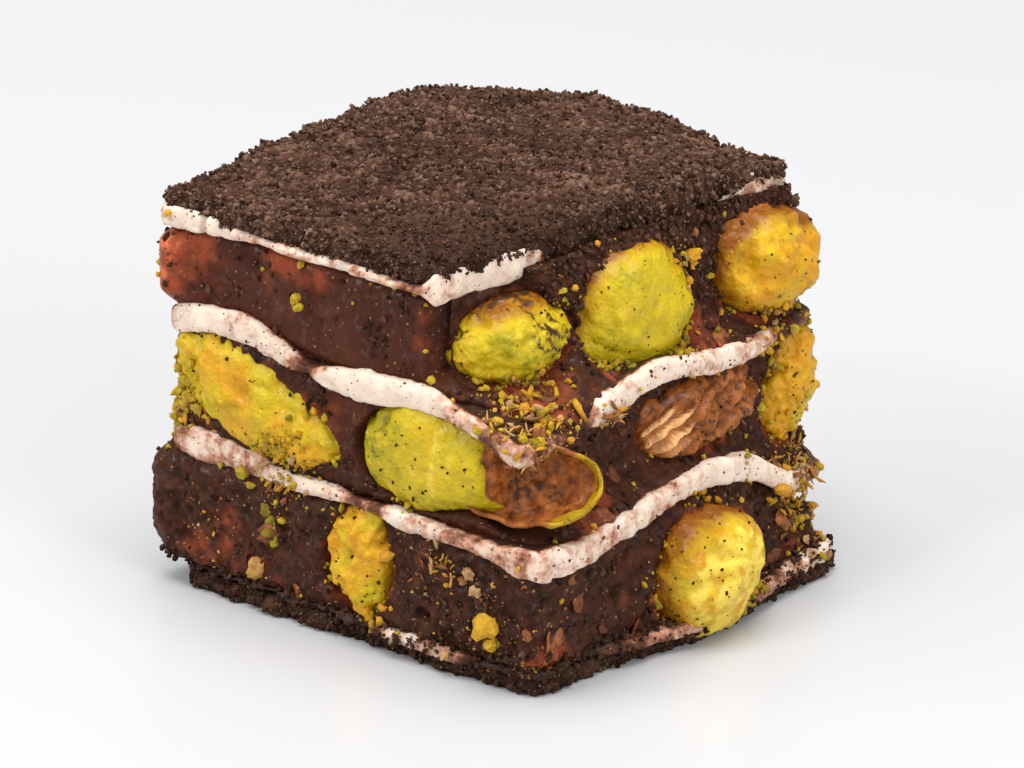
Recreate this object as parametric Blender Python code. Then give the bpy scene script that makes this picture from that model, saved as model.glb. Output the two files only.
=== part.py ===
"""A cube of layered turkish delight, cut from a slab.

Three fillings of dark chocolate paste, each set with pistachio kernels, lie between four thin white
nougat sheets. A coat of dark cocoa crumbs covers the top sheet and the underside of the base sheet.

Frame: +Z up, origin at the middle of the base. The four cut faces are front (-Y), right (+X), back (+Y)
and left (-X). The tables below are in millimetres, and MM turns them into metres.
"""

from collections import namedtuple
from math import exp, radians

import bmesh
import bpy
from mathutils import Matrix, Vector, noise

MM = 0.001

# Driving dimensions
SHEET = 0.9  # thickness of a nougat sheet
COAT = 1.2  # thickness of the crumb coat on top, at its middle
COAT_EDGE_LOSS = 0.5  # share of the top coat's thickness that is lost at the rim
GAP = 0.3  # room kept between neighbouring solids
CLEAR = 0.42  # least room between a kernel and the sheet that drapes over it
CORNER_POWER = 40  # exponent of the superellipse that rounds the plan's corners
CELLS = 10  # grid cells along each side of a layer
FILLING_ROWS = 3  # rows of cells up the wall of a filling
WALL_UNEVEN = 0.35  # how far a filling's cut wall wanders in and out
EDGE_UNEVEN = 0.3  # how far a sheet's edge wanders in and out
WANDER = 0.22  # waves per millimetre of that wandering
DRAPE = 0.45  # how fast a sheet falls back beside a kernel, for each squared radius
SETTLING_SWEEPS = 40  # rounds in which the sheets settle against the kernels
KERNEL_SEGMENTS = 10
KERNEL_RINGS = 7
KERNEL_TAPER = 0.16  # how much slimmer the pointed end of a kernel is

# Resting height of each sheet's middle surface
REST = {"sheet_base": 1.4, "sheet_lower": 9.35, "sheet_upper": 17.3, "sheet_top": 24.6}

# Soft swells and sags of a sheet that no kernel causes: x, y, rise, spread along x, spread along y
Swell = namedtuple("Swell", "x y rise wide_x wide_y")
SWELLS = {
    "sheet_base": [],
    "sheet_lower": [
        Swell(-13, -14, 0.7, 4, 4),
        Swell(15, -11, -0.8, 4, 3.5),
        Swell(15, 13, -1.6, 4, 4),
        Swell(-6, 10, 0.5, 5, 6),
    ],
    "sheet_upper": [
        Swell(-10, -16, 1.4, 3.2, 6),
        Swell(-2, -17, -0.6, 2.2, 5),
        Swell(15, -15, -2.2, 3.2, 5),
        Swell(13, 3, -0.9, 4, 9),
        Swell(-8, 8, 0.5, 5, 5),
    ],
    "sheet_top": [Swell(-12, 6, 1.4, 10, 9), Swell(2, 15, 0.8, 7, 5)],
}

# Plan corners of each layer, from front left round to back left
PLAN = {
    "coat_bottom": [(-14.3, -16.0), (15.2, -15.3), (14.6, 15.6), (-14.8, 15.4)],
    "sheet_base": [(-14.8, -16.2), (15.3, -15.5), (14.9, 15.8), (-15.1, 15.6)],
    "filling_lower": [(-16.1, -15.8), (15.0, -15.3), (13.3, 15.2), (-14.8, 15.1)],
    "sheet_lower": [(-15.3, -16.0), (15.7, -15.8), (13.6, 15.7), (-15.3, 15.5)],
    "filling_middle": [(-15.0, -15.5), (11.0, -15.2), (12.3, 15.0), (-14.7, 14.9)],
    "sheet_upper": [(-15.9, -16.0), (13.8, -15.8), (12.7, 15.5), (-15.2, 15.4)],
    "filling_upper": [(-15.3, -15.4), (8.0, -15.2), (10.8, 15.0), (-15.0, 14.8)],
    "sheet_top": [(-16.2, -16.2), (6.2, -15.9), (10.3, 15.6), (-15.7, 15.3)],
    "coat_top": [(-16.1, -16.0), (6.2, -15.7), (10.4, 15.6), (-15.7, 15.3)],
}

# Pistachio kernels. Half lengths: long runs along the kernel, wide across it, high upwards. turn swings the
# long axis from +X towards +Y, tilt then raises its far end. proud is how far the kernel stands out of the
# cut faces that it shows on, where the knife has taken off the rest.
Kernel = namedtuple("Kernel", "name filling x y z long wide high turn tilt proud faces")
KERNELS = [
    Kernel("kernel_upper_corner", "filling_upper", 6.6, -10.5, 21.2, 4.8, 3.4, 2.6, 84, 2, 1.5, ("right",)),
    Kernel("kernel_upper_right", "filling_upper", 8.0, 0.2, 21.2, 5.2, 4.2, 3.6, 88, 0, 2.2, ("right",)),
    Kernel("kernel_upper_right_back", "filling_upper", 9.6, 11.2, 21.5, 4.8, 4.2, 3.3, 100, -4, 3.4, ("right",)),
    Kernel("kernel_upper_back_right", "filling_upper", -0.4, 12.9, 21.0, 4.6, 3.2, 2.3, 6, 4, 0.8, ("back",)),
    Kernel("kernel_upper_back_left", "filling_upper", -10.2, 12.8, 21.3, 4.0, 3.2, 2.5, -15, -5, 1.2, ("back",)),
    Kernel("kernel_upper_left_back", "filling_upper", -12.8, 2.6, 21.5, 4.6, 3.1, 2.4, 82, 5, 0.5, ("left",)),
    Kernel("kernel_upper_left_front", "filling_upper", -13.0, -8.2, 21.0, 4.2, 3.0, 2.3, 96, -5, 0.9, ("left",)),
    Kernel("kernel_middle_front_left", "filling_middle", -8.1, -14.2, 13.8, 7.3, 3.1, 2.4, 0, -15, 0.7, ("front", "left")),
    Kernel("kernel_middle_corner", "filling_middle", 6.0, -12.7, 13.5, 6.0, 4.6, 3.3, 4, 2, 0.3, ("front", "right")),
    Kernel("kernel_middle_right", "filling_middle", 10.4, 1.2, 13.1, 4.8, 3.2, 2.2, 86, 5, 0.9, ("right",)),
    Kernel("kernel_middle_right_back", "filling_middle", 10.9, 12.0, 12.6, 3.3, 2.6, 2.4, 70, 62, 1.3, ("right",)),
    Kernel("kernel_middle_back_right", "filling_middle", 3.2, 13.2, 13.2, 4.6, 3.0, 2.4, 4, -6, 0.6, ("back",)),
    Kernel("kernel_middle_back_left", "filling_middle", -6.4, 12.6, 13.3, 3.8, 3.2, 2.6, 14, 6, 1.0, ("back",)),
    Kernel("kernel_middle_left_back", "filling_middle", -12.6, 6.2, 13.3, 4.4, 3.1, 2.4, 93, -6, 0.6, ("left",)),
    Kernel("kernel_middle_left_front", "filling_middle", -12.9, -5.0, 13.2, 3.8, 3.0, 2.4, 84, 8, 0.8, ("left",)),
    Kernel("kernel_lower_front", "filling_lower", 0.8, -14.0, 5.5, 3.1, 2.9, 2.8, 0, 70, 0.6, ("front",)),
    Kernel("kernel_lower_right", "filling_lower", 13.2, 1.0, 5.55, 5.0, 4.1, 3.5, 92, 0, 2.6, ("right",)),
    Kernel("kernel_lower_back_right", "filling_lower", 8.4, 12.9, 5.4, 4.6, 3.2, 2.5, -6, 5, 0.7, ("back",)),
    Kernel("kernel_lower_back_left", "filling_lower", -3.2, 12.8, 5.4, 4.4, 3.2, 2.6, 12, -6, 0.9, ("back",)),
    Kernel("kernel_lower_left_back", "filling_lower", -12.7, 9.8, 5.4, 3.8, 3.2, 2.5, 84, 6, 1.0, ("left",)),
    Kernel("kernel_lower_left_front", "filling_lower", -12.6, -1.0, 5.5, 5.0, 3.1, 2.6, 95, -4, 0.6, ("left",)),
]

# The layers from the bottom up. A filling lies between the two sheets that its tuple names.
FILLINGS = {
    "filling_lower": ("sheet_base", "sheet_lower"),
    "filling_middle": ("sheet_lower", "sheet_upper"),
    "filling_upper": ("sheet_upper", "sheet_top"),
}

# Principled BSDF values: base colour, roughness
FINISHES = {
    "crumb_coat": ((0.045, 0.030, 0.024), 0.95),
    "nougat_sheet": ((0.78, 0.68, 0.58), 0.60),
    "chocolate_paste": ((0.060, 0.022, 0.014), 0.42),
    "pistachio": ((0.58, 0.48, 0.07), 0.55),
}


def clear_scene():
    for found in list(bpy.data.objects):
        bpy.data.objects.remove(found)


def finish_material(name):
    """The material of that name, made once and then shared."""
    if name in bpy.data.materials:
        return bpy.data.materials[name]
    colour, roughness = FINISHES[name]
    material = bpy.data.materials.new(name)
    material.use_nodes = True
    shader = material.node_tree.nodes["Principled BSDF"]
    shader.inputs["Base Color"].default_value = (*colour, 1.0)
    shader.inputs["Roughness"].default_value = roughness
    shader.inputs["Metallic"].default_value = 0.0
    return material


# --- Kernels -----------------------------------------------------------------------------------------------


def kernel_turn(kernel):
    """Rotation from a kernel's own axes (long, wide, high) to the frame's."""
    return Matrix.Rotation(radians(kernel.turn), 3, "Z") @ Matrix.Rotation(-radians(kernel.tilt), 3, "Y")


def kernel_tip(kernel, side):
    """Highest point of the kernel's ellipsoid for side 1, or lowest for side -1."""
    stretch = kernel_turn(kernel) @ Matrix.Diagonal((kernel.long, kernel.wide, kernel.high))
    pull = stretch.transposed() @ Vector((0, 0, side))
    return Vector((kernel.x, kernel.y, kernel.z)) + stretch @ pull.normalized()


def kernel_point(kernel, along, across, up, grow):
    """Point of the kernel's skin for a point of the unit sphere: an ellipsoid that narrows to one end."""
    slim = 1 - KERNEL_TAPER * along
    own = Vector(
        (
            along * (kernel.long + grow),
            across * (kernel.wide + grow) * slim,
            up * (kernel.high + grow) * slim,
        )
    )
    return Vector((kernel.x, kernel.y, kernel.z)) + kernel_turn(kernel) @ own


def face_place(filling, face, point):
    """(axis, outward sign, place) of a filling's cut face beside a point."""
    front_left, front_right, back_right, back_left = PLAN[filling]
    if face == "front":
        return 1, -1, front_right[1]
    if face == "back":
        return 1, 1, back_left[1]
    if face == "left":
        return 0, -1, front_left[0]
    share = (point.y - front_right[1]) / (back_right[1] - front_right[1])
    return 0, 1, front_right[0] + share * (back_right[0] - front_right[0])


def cut_by_knife(kernel, point):
    """The point pulled back to the knife's cut where it lies beyond it."""
    cut = point.copy()
    for face in kernel.faces:
        axis, sign, place = face_place(kernel.filling, face, point)
        limit = place + sign * kernel.proud
        if sign * cut[axis] > sign * limit:
            cut[axis] = limit
    return cut


def kernel_object(kernel, grow=0.0):
    """A kernel as a sphere moved onto its skin. A grown one is whole, and serves to cut its bed in the paste."""
    shape = bmesh.new()
    bmesh.ops.create_uvsphere(shape, u_segments=KERNEL_SEGMENTS, v_segments=KERNEL_RINGS, radius=1.0)
    for vertex in shape.verts:
        across, up, along = vertex.co
        point = kernel_point(kernel, along, across, up, grow)
        vertex.co = (point if grow else cut_by_knife(kernel, point)) * MM
    name = kernel.name if not grow else "bed_of_" + kernel.name
    return solid_object(name, shape, "pistachio")


# --- Layers ------------------------------------------------------------------------------------------------


def drape(kernel, tip, x, y):
    """How much of a kernel's push a sheet feels at x, y: 1 over the tip, falling off like a bell."""
    away = kernel_turn(kernel).transposed() @ Vector((x - tip.x, y - tip.y, 0))
    squared = (away.x / kernel.long) ** 2 + (away.y / kernel.wide) ** 2
    return exp(-DRAPE * squared)


def touching(sheet):
    """(kernel, tip, side, height needed at the tip) of every kernel that lies against a sheet.

    Side is 1 for a kernel under the sheet, which holds it up, and -1 for one on top, which weighs it down.
    """
    found = []
    for kernel in KERNELS:
        below, above = FILLINGS[kernel.filling]
        side = {above: 1, below: -1}.get(sheet)
        if side:
            tip = kernel_tip(kernel, side)
            found.append((kernel, tip, side, tip.z + side * (CLEAR + SHEET / 2)))
    return found


def draped_level(sheet, x, y, neighbours, pushes):
    """Height of a sheet's middle surface: its rest, its swells, and a bell for each push."""
    level = REST[sheet]
    for swell in SWELLS[sheet]:
        spread = ((x - swell.x) / swell.wide_x) ** 2 + ((y - swell.y) / swell.wide_y) ** 2
        level += swell.rise * exp(-spread / 2)
    for (kernel, tip, _, _), push in zip(neighbours, pushes):
        level += push * drape(kernel, tip, x, y)
    return level


def settle(sheet):
    """The neighbours of a sheet with the least pushes that carry it clear of each of their tips."""
    neighbours = touching(sheet)
    pushes = [0.0] * len(neighbours)
    for _ in range(SETTLING_SWEEPS):
        for place, (_, tip, side, needed) in enumerate(neighbours):
            short = needed - draped_level(sheet, tip.x, tip.y, neighbours, pushes)
            pushes[place] += side * max(0.0, side * short)
    return neighbours, pushes


SETTLED = {sheet: settle(sheet) for sheet in REST}


def sheet_level(sheet, x, y):
    """Height of a settled sheet's middle surface."""
    return draped_level(sheet, x, y, *SETTLED[sheet])


def plan_point(layer, s, t):
    """(x, y) of a layer for s and t from -1 to 1: a square rounded to a superellipse, set into four corners."""
    reach = max(abs(s), abs(t))
    if reach > 0:
        round_off = (abs(s / reach) ** CORNER_POWER + abs(t / reach) ** CORNER_POWER) ** (-1 / CORNER_POWER)
        s, t = s * round_off, t * round_off
    shares = ((1 - s) * (1 - t), (1 + s) * (1 - t), (1 + s) * (1 + t), (1 - s) * (1 + t))
    x = sum(share * corner[0] for share, corner in zip(shares, PLAN[layer])) / 4
    y = sum(share * corner[1] for share, corner in zip(shares, PLAN[layer])) / 4
    return x, y


def wander(x, y, z, size):
    """An in and out offset of up to size, the same each time for the same point."""
    return size * noise.noise(Vector((x, y, z)) * WANDER)


def layer_span(layer, x, y, rim):
    """(bottom, top) of a layer at x, y. rim is 0 at the layer's middle and 1 at its edge."""
    half = SHEET / 2
    if layer == "coat_bottom":
        return 0.0, sheet_level("sheet_base", x, y) - half - GAP
    if layer == "coat_top":
        bottom = sheet_level("sheet_top", x, y) + half + GAP
        return bottom, bottom + COAT * (1 - COAT_EDGE_LOSS * rim**4)
    if layer in FILLINGS:
        below, above = FILLINGS[layer]
        return sheet_level(below, x, y) + half + GAP, sheet_level(above, x, y) - half - GAP
    level = sheet_level(layer, x, y)
    return level - half, level + half


def unit_block(rows):
    """A closed block of grid cells from -1 to 1 in X and Y and 0 to 1 in Z, extruded upwards in rows."""
    block = bmesh.new()
    bmesh.ops.create_grid(block, x_segments=CELLS, y_segments=CELLS, size=1.0)
    top = block.faces[:]
    for _ in range(rows):
        made = bmesh.ops.extrude_face_region(block, geom=top)["geom"]
        risen = [part for part in made if isinstance(part, bmesh.types.BMVert)]
        bmesh.ops.translate(block, verts=risen, vec=(0, 0, 1 / rows))
        old, top = top, [part for part in made if isinstance(part, bmesh.types.BMFace)]
        if _ > 0:
            bmesh.ops.delete(block, geom=[face for face in old if face.is_valid], context="FACES_ONLY")
    bmesh.ops.recalc_face_normals(block, faces=block.faces)
    return block


def layer_object(layer, finish):
    """One layer of the stack, between its two surfaces and inside its plan."""
    rows = FILLING_ROWS if layer in FILLINGS else 1
    uneven = WALL_UNEVEN if layer in FILLINGS else EDGE_UNEVEN
    shape = unit_block(rows)
    for vertex in shape.verts:
        s, t, rise = vertex.co
        rim = max(abs(s), abs(t))
        x, y = plan_point(layer, s, t)
        bottom, top = layer_span(layer, x, y, rim)
        z = bottom + rise * (top - bottom)
        outward = Vector((x, y, 0)).normalized() * rim**8
        vertex.co = (Vector((x, y, z)) + outward * wander(x, y, z, uneven)) * MM
    return solid_object(layer, shape, finish)


# --- Putting it together -----------------------------------------------------------------------------------


def solid_object(name, shape, finish):
    """An object in the scene from a bmesh, shaded smooth up to a sharp edge."""
    mesh = bpy.data.meshes.new(name)
    shape.to_mesh(mesh)
    shape.free()
    mesh.materials.append(finish_material(finish))
    mesh.shade_smooth()
    mesh.set_sharp_from_angle(angle=radians(40))
    made = bpy.data.objects.new(name, mesh)
    bpy.context.scene.collection.objects.link(made)
    return made


def cut_beds(filling_object, kernels):
    """Cuts the bed of each kernel out of the paste that holds it."""
    for kernel in kernels:
        cutter = kernel_object(kernel, GAP)
        cutter.hide_render = True
        cutter.display_type = "WIRE"
        cut = filling_object.modifiers.new(cutter.name, "BOOLEAN")
        cut.operation = "DIFFERENCE"
        cut.solver = "EXACT"
        cut.object = cutter


def build():
    clear_scene()
    for layer in ("coat_bottom", "coat_top"):
        layer_object(layer, "crumb_coat")
    for sheet in REST:
        layer_object(sheet, "nougat_sheet")
    for filling in FILLINGS:
        paste = layer_object(filling, "chocolate_paste")
        cut_beds(paste, [kernel for kernel in KERNELS if kernel.filling == filling])
    for kernel in KERNELS:
        kernel_object(kernel)


build()
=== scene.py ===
"""The looks of a cube of layered turkish delight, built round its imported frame.

Every layer is a closed shell of rings that run round the piece. Every kernel is a closed surface round its own
middle. Crumbs, nut bits and flakes of skin are joined meshes of small lumps. Lengths in the tables and in the
functions are millimetres, and MM turns them into metres when a mesh is made.
"""

from collections import namedtuple
from itertools import product
from math import cos, pi, radians, sin

import bmesh
import bpy
import numpy as np
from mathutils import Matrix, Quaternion, Vector


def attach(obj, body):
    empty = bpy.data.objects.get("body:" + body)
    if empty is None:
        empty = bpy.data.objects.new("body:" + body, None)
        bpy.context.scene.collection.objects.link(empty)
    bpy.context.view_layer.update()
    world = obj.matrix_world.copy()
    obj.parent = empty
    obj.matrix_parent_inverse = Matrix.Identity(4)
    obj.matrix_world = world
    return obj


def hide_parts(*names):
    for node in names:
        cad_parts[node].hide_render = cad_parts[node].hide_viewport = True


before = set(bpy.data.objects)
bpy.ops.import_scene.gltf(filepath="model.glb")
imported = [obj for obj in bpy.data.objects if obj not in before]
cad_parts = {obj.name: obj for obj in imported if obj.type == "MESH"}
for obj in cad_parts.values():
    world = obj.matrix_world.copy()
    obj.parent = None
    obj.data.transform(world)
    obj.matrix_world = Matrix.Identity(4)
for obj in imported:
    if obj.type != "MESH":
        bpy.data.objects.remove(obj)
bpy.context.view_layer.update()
MM = 0.001

ROUND = 720  # points round the edge of a layer
CORNER_POWER = 26  # exponent of the superellipse that rounds the corners of a layer
SHEETS = ("sheet_base", "sheet_lower", "sheet_upper", "sheet_top")
BETWEEN = {
    "filling_lower": ("sheet_base", "sheet_lower"),
    "filling_middle": ("sheet_lower", "sheet_upper"),
    "filling_upper": ("sheet_upper", "sheet_top"),
}

# --- Noise -------------------------------------------------------------------------------------------------


def lattice(cell, seed):
    """A number from 0 to 1 for each whole-number cell: its three indices times large primes, mixed by shifts."""
    cell = cell.astype(np.int64)
    mixed = cell[..., 0] * 374761393 + cell[..., 1] * 668265263 + cell[..., 2] * 2147483629 + seed * 1274126177
    mixed = (mixed ^ (mixed >> 13)) * 1103515245
    mixed = (mixed ^ (mixed >> 16)) & 0xFFFFFF
    return mixed / 0xFFFFFF


def noise(points, pitch, seed=0, octaves=1, gain=0.5):
    """Smooth noise from -1 to 1: lattice numbers blended by eased distance, each octave at half the pitch."""
    total = 0.0
    reach = 0.0
    for octave in range(octaves):
        place = points * (2**octave / pitch) + 19.7 * (seed + 1) + 7.3 * octave
        cell = np.floor(place)
        part = place - cell
        part = part * part * (3 - 2 * part)
        value = 0.0
        for corner in product((0, 1), repeat=3):
            share = np.prod(np.where(np.array(corner) == 1, part, 1 - part), axis=-1)
            value = value + share * lattice(cell + corner, seed + octave)
        total = total + gain**octave * (2 * value - 1)
        reach += gain**octave
    return total / reach


def grains(points, pitch, seed=0):
    """(distance, tag) of the nearest grain: one grain sits at a random place in each cell of a lattice.

    The distance is in pitches, and the tag is the grain's own number from 0 to 1.
    """
    place = points / pitch + 31.4 * (seed + 1)
    cell = np.floor(place)
    nearest = np.full(place.shape[:-1], 9.0)
    tag = np.zeros(place.shape[:-1])
    for step in product((-1, 0, 1), repeat=3):
        near = cell + step
        grain = near + np.stack([lattice(near, seed + axis) for axis in (1, 2, 3)], axis=-1)
        away = np.linalg.norm(grain - place, axis=-1)
        closer = away < nearest
        nearest = np.where(closer, away, nearest)
        tag = np.where(closer, lattice(near, seed + 4), tag)
    return nearest, tag


def ease(low, high, value):
    """0 below low, 1 above high, and an S-shaped rise between them."""
    share = np.clip((value - low) / (high - low), 0, 1)
    return share * share * (3 - 2 * share)


# --- Reading the frame -------------------------------------------------------------------------------------


def node_corners(node):
    """The corners of a node's triangles in millimetres, as an array of triangles by 3 by 3."""
    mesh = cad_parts[node].data
    points = np.empty(len(mesh.vertices) * 3)
    mesh.vertices.foreach_get("co", points)
    mesh.calc_loop_triangles()
    index = np.empty(len(mesh.loop_triangles) * 3, int)
    mesh.loop_triangles.foreach_get("vertices", index)
    return points.reshape(-1, 3)[index].reshape(-1, 3, 3) / MM


def facing(corners):
    """Unit normals of triangles."""
    normal = np.cross(corners[:, 1] - corners[:, 0], corners[:, 2] - corners[:, 0])
    return normal / np.maximum(np.linalg.norm(normal, axis=1, keepdims=True), 1e-9)


def node_level(node, side):
    """A function that gives the height of a node's upper (side 1) or lower (side -1) surface at any (x, y).

    It fits a sloping plane to the surface's corners, weighted by a bell round the asked place.
    """
    corners = node_corners(node)
    known = corners[facing(corners)[:, 2] * side > 0.6].reshape(-1, 3)
    known = np.unique(known.round(3), axis=0)
    spread = 1.9

    def plane_height(asked):
        away = known[None, :, :2] - asked[:, None, :]
        weight = np.exp(-(away**2).sum(-1) / (2 * spread**2)) + 1e-9
        slopes = np.concatenate([np.ones_like(away[..., :1]), away], axis=-1)
        matrix = np.einsum("qk,qki,qkj->qij", weight, slopes, slopes) + 1e-6 * np.eye(3)
        target = np.einsum("qk,qki,k->qi", weight, slopes, known[:, 2])
        return np.linalg.solve(matrix, target[..., None])[:, 0, 0]

    def height(xy):
        flat = xy.reshape(-1, 2)
        parts = np.array_split(flat, max(1, len(flat) // 6000))
        return np.concatenate([plane_height(part) for part in parts]).reshape(xy.shape[:-1]) + bend(node, xy)

    return height


def bend(node, xy):
    """How far a sheet's right rim has lifted or drooped since its place in the frame was taken, in millimetres."""
    x, y = xy[..., 0], xy[..., 1]
    if node == "sheet_upper":
        return 1.0 * np.exp(-(((y + 0.8) / 4.2) ** 2)) * ease(7.5, 12, x)
    if node == "sheet_lower":
        return -1.4 * ease(6.5, 11.5, y) * ease(8, 12.5, x)
    return np.zeros(xy.shape[:-1])


def plan_corners(node):
    """The four plan corners of a layer, front left first and then anticlockwise: its farthest points that way."""
    points = node_corners(node).reshape(-1, 3)[:, :2]
    ways = np.array([(-1, -1), (1, -1), (1, 1), (-1, 1)])
    return np.array([points[np.argmax(points @ way)] for way in ways])


PLAN = {node: plan_corners(node) for node in (*SHEETS, *BETWEEN, "coat_top", "coat_bottom")}
TOP_OF = {node: node_level(node, 1) for node in (*SHEETS, "coat_top")}
UNDER = {node: node_level(node, -1) for node in SHEETS}


def beyond(layer, points):
    """How far points lie outside a layer's plan, in millimetres: the greatest of the distances from its sides."""
    corners = PLAN[layer]
    out = []
    for place in range(4):
        start, end = corners[place], corners[(place + 1) % 4]
        along = (end - start) / np.linalg.norm(end - start)
        out.append((points[..., :2] - start) @ np.array([along[1], -along[0]]))
    return np.max(out, axis=0)


def side_out(layer, points):
    """The unit direction out of the side of a layer's plan that points lie nearest to, or lie farthest outside."""
    corners = PLAN[layer]
    along = np.roll(corners, -1, axis=0) - corners
    along = along / np.linalg.norm(along, axis=1, keepdims=True)
    out = np.stack([along[:, 1], -along[:, 0]], axis=-1)
    away = np.einsum("...i,ki->...k", points[..., :2], out) - (corners * out).sum(1)
    return out[np.argmax(away, axis=-1)]


# --- Making meshes -----------------------------------------------------------------------------------------


def piece_from(name, points, faces, material, attributes=None, smooth=True):
    """An object at the origin from points in millimetres and face corners, with float attributes on its points."""
    mesh = bpy.data.meshes.new(name)
    mesh.from_pydata((points * MM).tolist(), [], faces)
    for label, values in (attributes or {}).items():
        layer = mesh.attributes.new(label, "FLOAT", "POINT")
        layer.data.foreach_set("value", np.ascontiguousarray(values, np.float32).ravel())
    mesh.materials.append(material)
    if smooth:
        mesh.shade_smooth()
    mesh.validate()
    piece = bpy.data.objects.new(name, mesh)
    bpy.context.scene.collection.objects.link(piece)
    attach(piece, "root")
    return piece


def ring_faces(rows, across):
    """Face corners of rings of points joined one to the next, with a fan to a middle point at either end."""
    row, column = np.meshgrid(np.arange(rows - 1), np.arange(across), indexing="ij")
    right = (column + 1) % across
    quads = np.stack([row * across + column, row * across + right, (row + 1) * across + right, (row + 1) * across + column], -1)
    first, last = rows * across, rows * across + 1
    around = np.arange(across)
    onward = (around + 1) % across
    bottom = np.stack([np.full(across, first), onward, around], -1)
    top = np.stack([np.full(across, last), (rows - 1) * across + around, (rows - 1) * across + onward], -1)
    return quads.reshape(-1, 4).tolist() + bottom.tolist() + top.tolist()


def closed_rings(name, grid, material, attributes=None):
    """A piece from a grid of rings by points round, closed at each end by the middle of its last ring."""
    rows, across = grid.shape[:2]
    points = np.concatenate([grid.reshape(-1, 3), grid[0].mean(0)[None], grid[-1].mean(0)[None]])
    whole = {}
    for label, values in (attributes or {}).items():
        whole[label] = np.concatenate([values.ravel(), [values[0].mean()], [values[-1].mean()]])
    return piece_from(name, points, ring_faces(rows, across), material, whole)


def grid_normals(grid):
    """Outward unit normals of a grid of rings: the slope round each ring crossed with the slope between rings."""
    around = np.roll(grid, -1, axis=1) - np.roll(grid, 1, axis=1)
    between = np.gradient(grid, axis=0)
    normal = np.cross(around, between)
    return normal / np.maximum(np.linalg.norm(normal, axis=-1, keepdims=True), 1e-9)


# --- Layers ------------------------------------------------------------------------------------------------


def square_round(count):
    """(s, t) of points spaced evenly round a square of half side 1, anticlockwise from the middle of its right side."""
    travel = np.arange(count) * 8 / count
    return np.clip(np.abs(travel - 4) - 2, -1, 1), np.clip(np.abs((travel - 2) % 8 - 4) - 2, -1, 1)


def plan_ring(corners, reach, count=ROUND):
    """(x, y) round a layer at a share of its reach: the square, its corners rounded, set into the plan's corners."""
    s, t = square_round(count)
    rounding = (np.abs(s) ** CORNER_POWER + np.abs(t) ** CORNER_POWER) ** (-1 / CORNER_POWER)
    s, t = s * rounding * reach, t * rounding * reach
    shares = np.stack([(1 - s) * (1 - t), (1 + s) * (1 - t), (1 + s) * (1 + t), (1 - s) * (1 + t)], axis=-1) / 4
    return shares @ corners


def outward(ring):
    """Unit directions that point out of a closed plan ring, softened over its corners."""
    along = np.roll(ring, -6, axis=0) - np.roll(ring, 6, axis=0)
    out = np.stack([along[:, 1], -along[:, 0]], axis=-1)
    return out / np.linalg.norm(out, axis=-1, keepdims=True)


def swollen(layer, grid, share):
    """How far the foot of the right side bulges past its place in the frame, in millimetres, at each point."""
    bulge = 1.7 * np.exp(-(((grid[..., 1] - 1.0) / 6.5) ** 2)) * ease(4, 15, grid[..., 0])
    if layer in ("coat_bottom", "sheet_base"):
        return bulge
    if layer == "filling_lower":
        return bulge * (1 - share)
    return 0.0 * bulge


def layer_grid(layer, profile):
    """(grid, ways) of a layer from a profile of (reach, share of height, push outwards) rows.

    low and high give the layer's two surfaces. ways holds the outward direction of each point.
    """
    corners = PLAN[layer]
    rim = plan_ring(corners, 1.0)
    way = outward(rim)
    low, high = layer_surfaces(layer)
    rows = []
    for reach, share, push in profile:
        xy = plan_ring(corners, reach) + way * push
        bottom, top = low(xy), high(xy)
        rows.append(np.concatenate([xy, (bottom + share * (top - bottom))[:, None]], axis=1))
    grid = np.array(rows)
    grid[..., 0] += swollen(layer, grid, np.array([row[1] for row in profile])[:, None])
    ways = np.broadcast_to(np.concatenate([way, np.zeros((len(way), 1))], axis=1), grid.shape)
    return grid, ways


def layer_surfaces(layer):
    """The functions for the lower and upper surface of a layer, so that neighbours meet without a gap."""
    tuck = 0.12
    if layer in BETWEEN:
        below, above = BETWEEN[layer]
        return (lambda xy: TOP_OF[below](xy) - tuck), (lambda xy: UNDER[above](xy) + tuck)
    if layer == "coat_bottom":
        return (lambda xy: np.zeros(xy.shape[:-1])), (lambda xy: UNDER["sheet_base"](xy) + tuck)
    if layer == "coat_top":
        return (lambda xy: TOP_OF["sheet_top"](xy) - tuck), TOP_OF["coat_top"]
    return UNDER[layer], TOP_OF[layer]


def flat_rows(count, share, start, end):
    """Profile rows that cross a layer's face from one reach to another."""
    return [(reach, share, 0.0) for reach in np.linspace(start, end, count)]


# --- Kernels: where they are -------------------------------------------------------------------------------

Form = namedtuple("Form", "middle axes halves ways ratios")
# How far a kernel has settled away from its place in the frame, in millimetres.
SETTLED = {
    "kernel_upper_corner": (0.7, 1.2, -0.6),
    "kernel_upper_right": (0.3, 0.0, -1.2),
    "kernel_upper_right_back": (0.0, 0.9, -0.4),
    "kernel_lower_right": (1.1, 0.7, -1.9),
    "kernel_lower_front": (-0.1, -0.2, 0.2),
    "kernel_middle_right": (0.5, 2.8, 0.2),
    "kernel_middle_right_back": (0.2, 1.0, 0.2),
}
GROWN = {
    "kernel_upper_corner": (1.0, 0.88, 0.95),
    "kernel_upper_right": (1.0, 1.0, 1.17),
    "kernel_lower_front": (1.0, 1.0, 1.12),
    "kernel_lower_right": (1.0, 1.05, 1.17),
    "kernel_middle_right": (1.0, 1.15, 0.92),
    "kernel_middle_right_back": (1.0, 1.0, 1.15),
}


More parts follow.
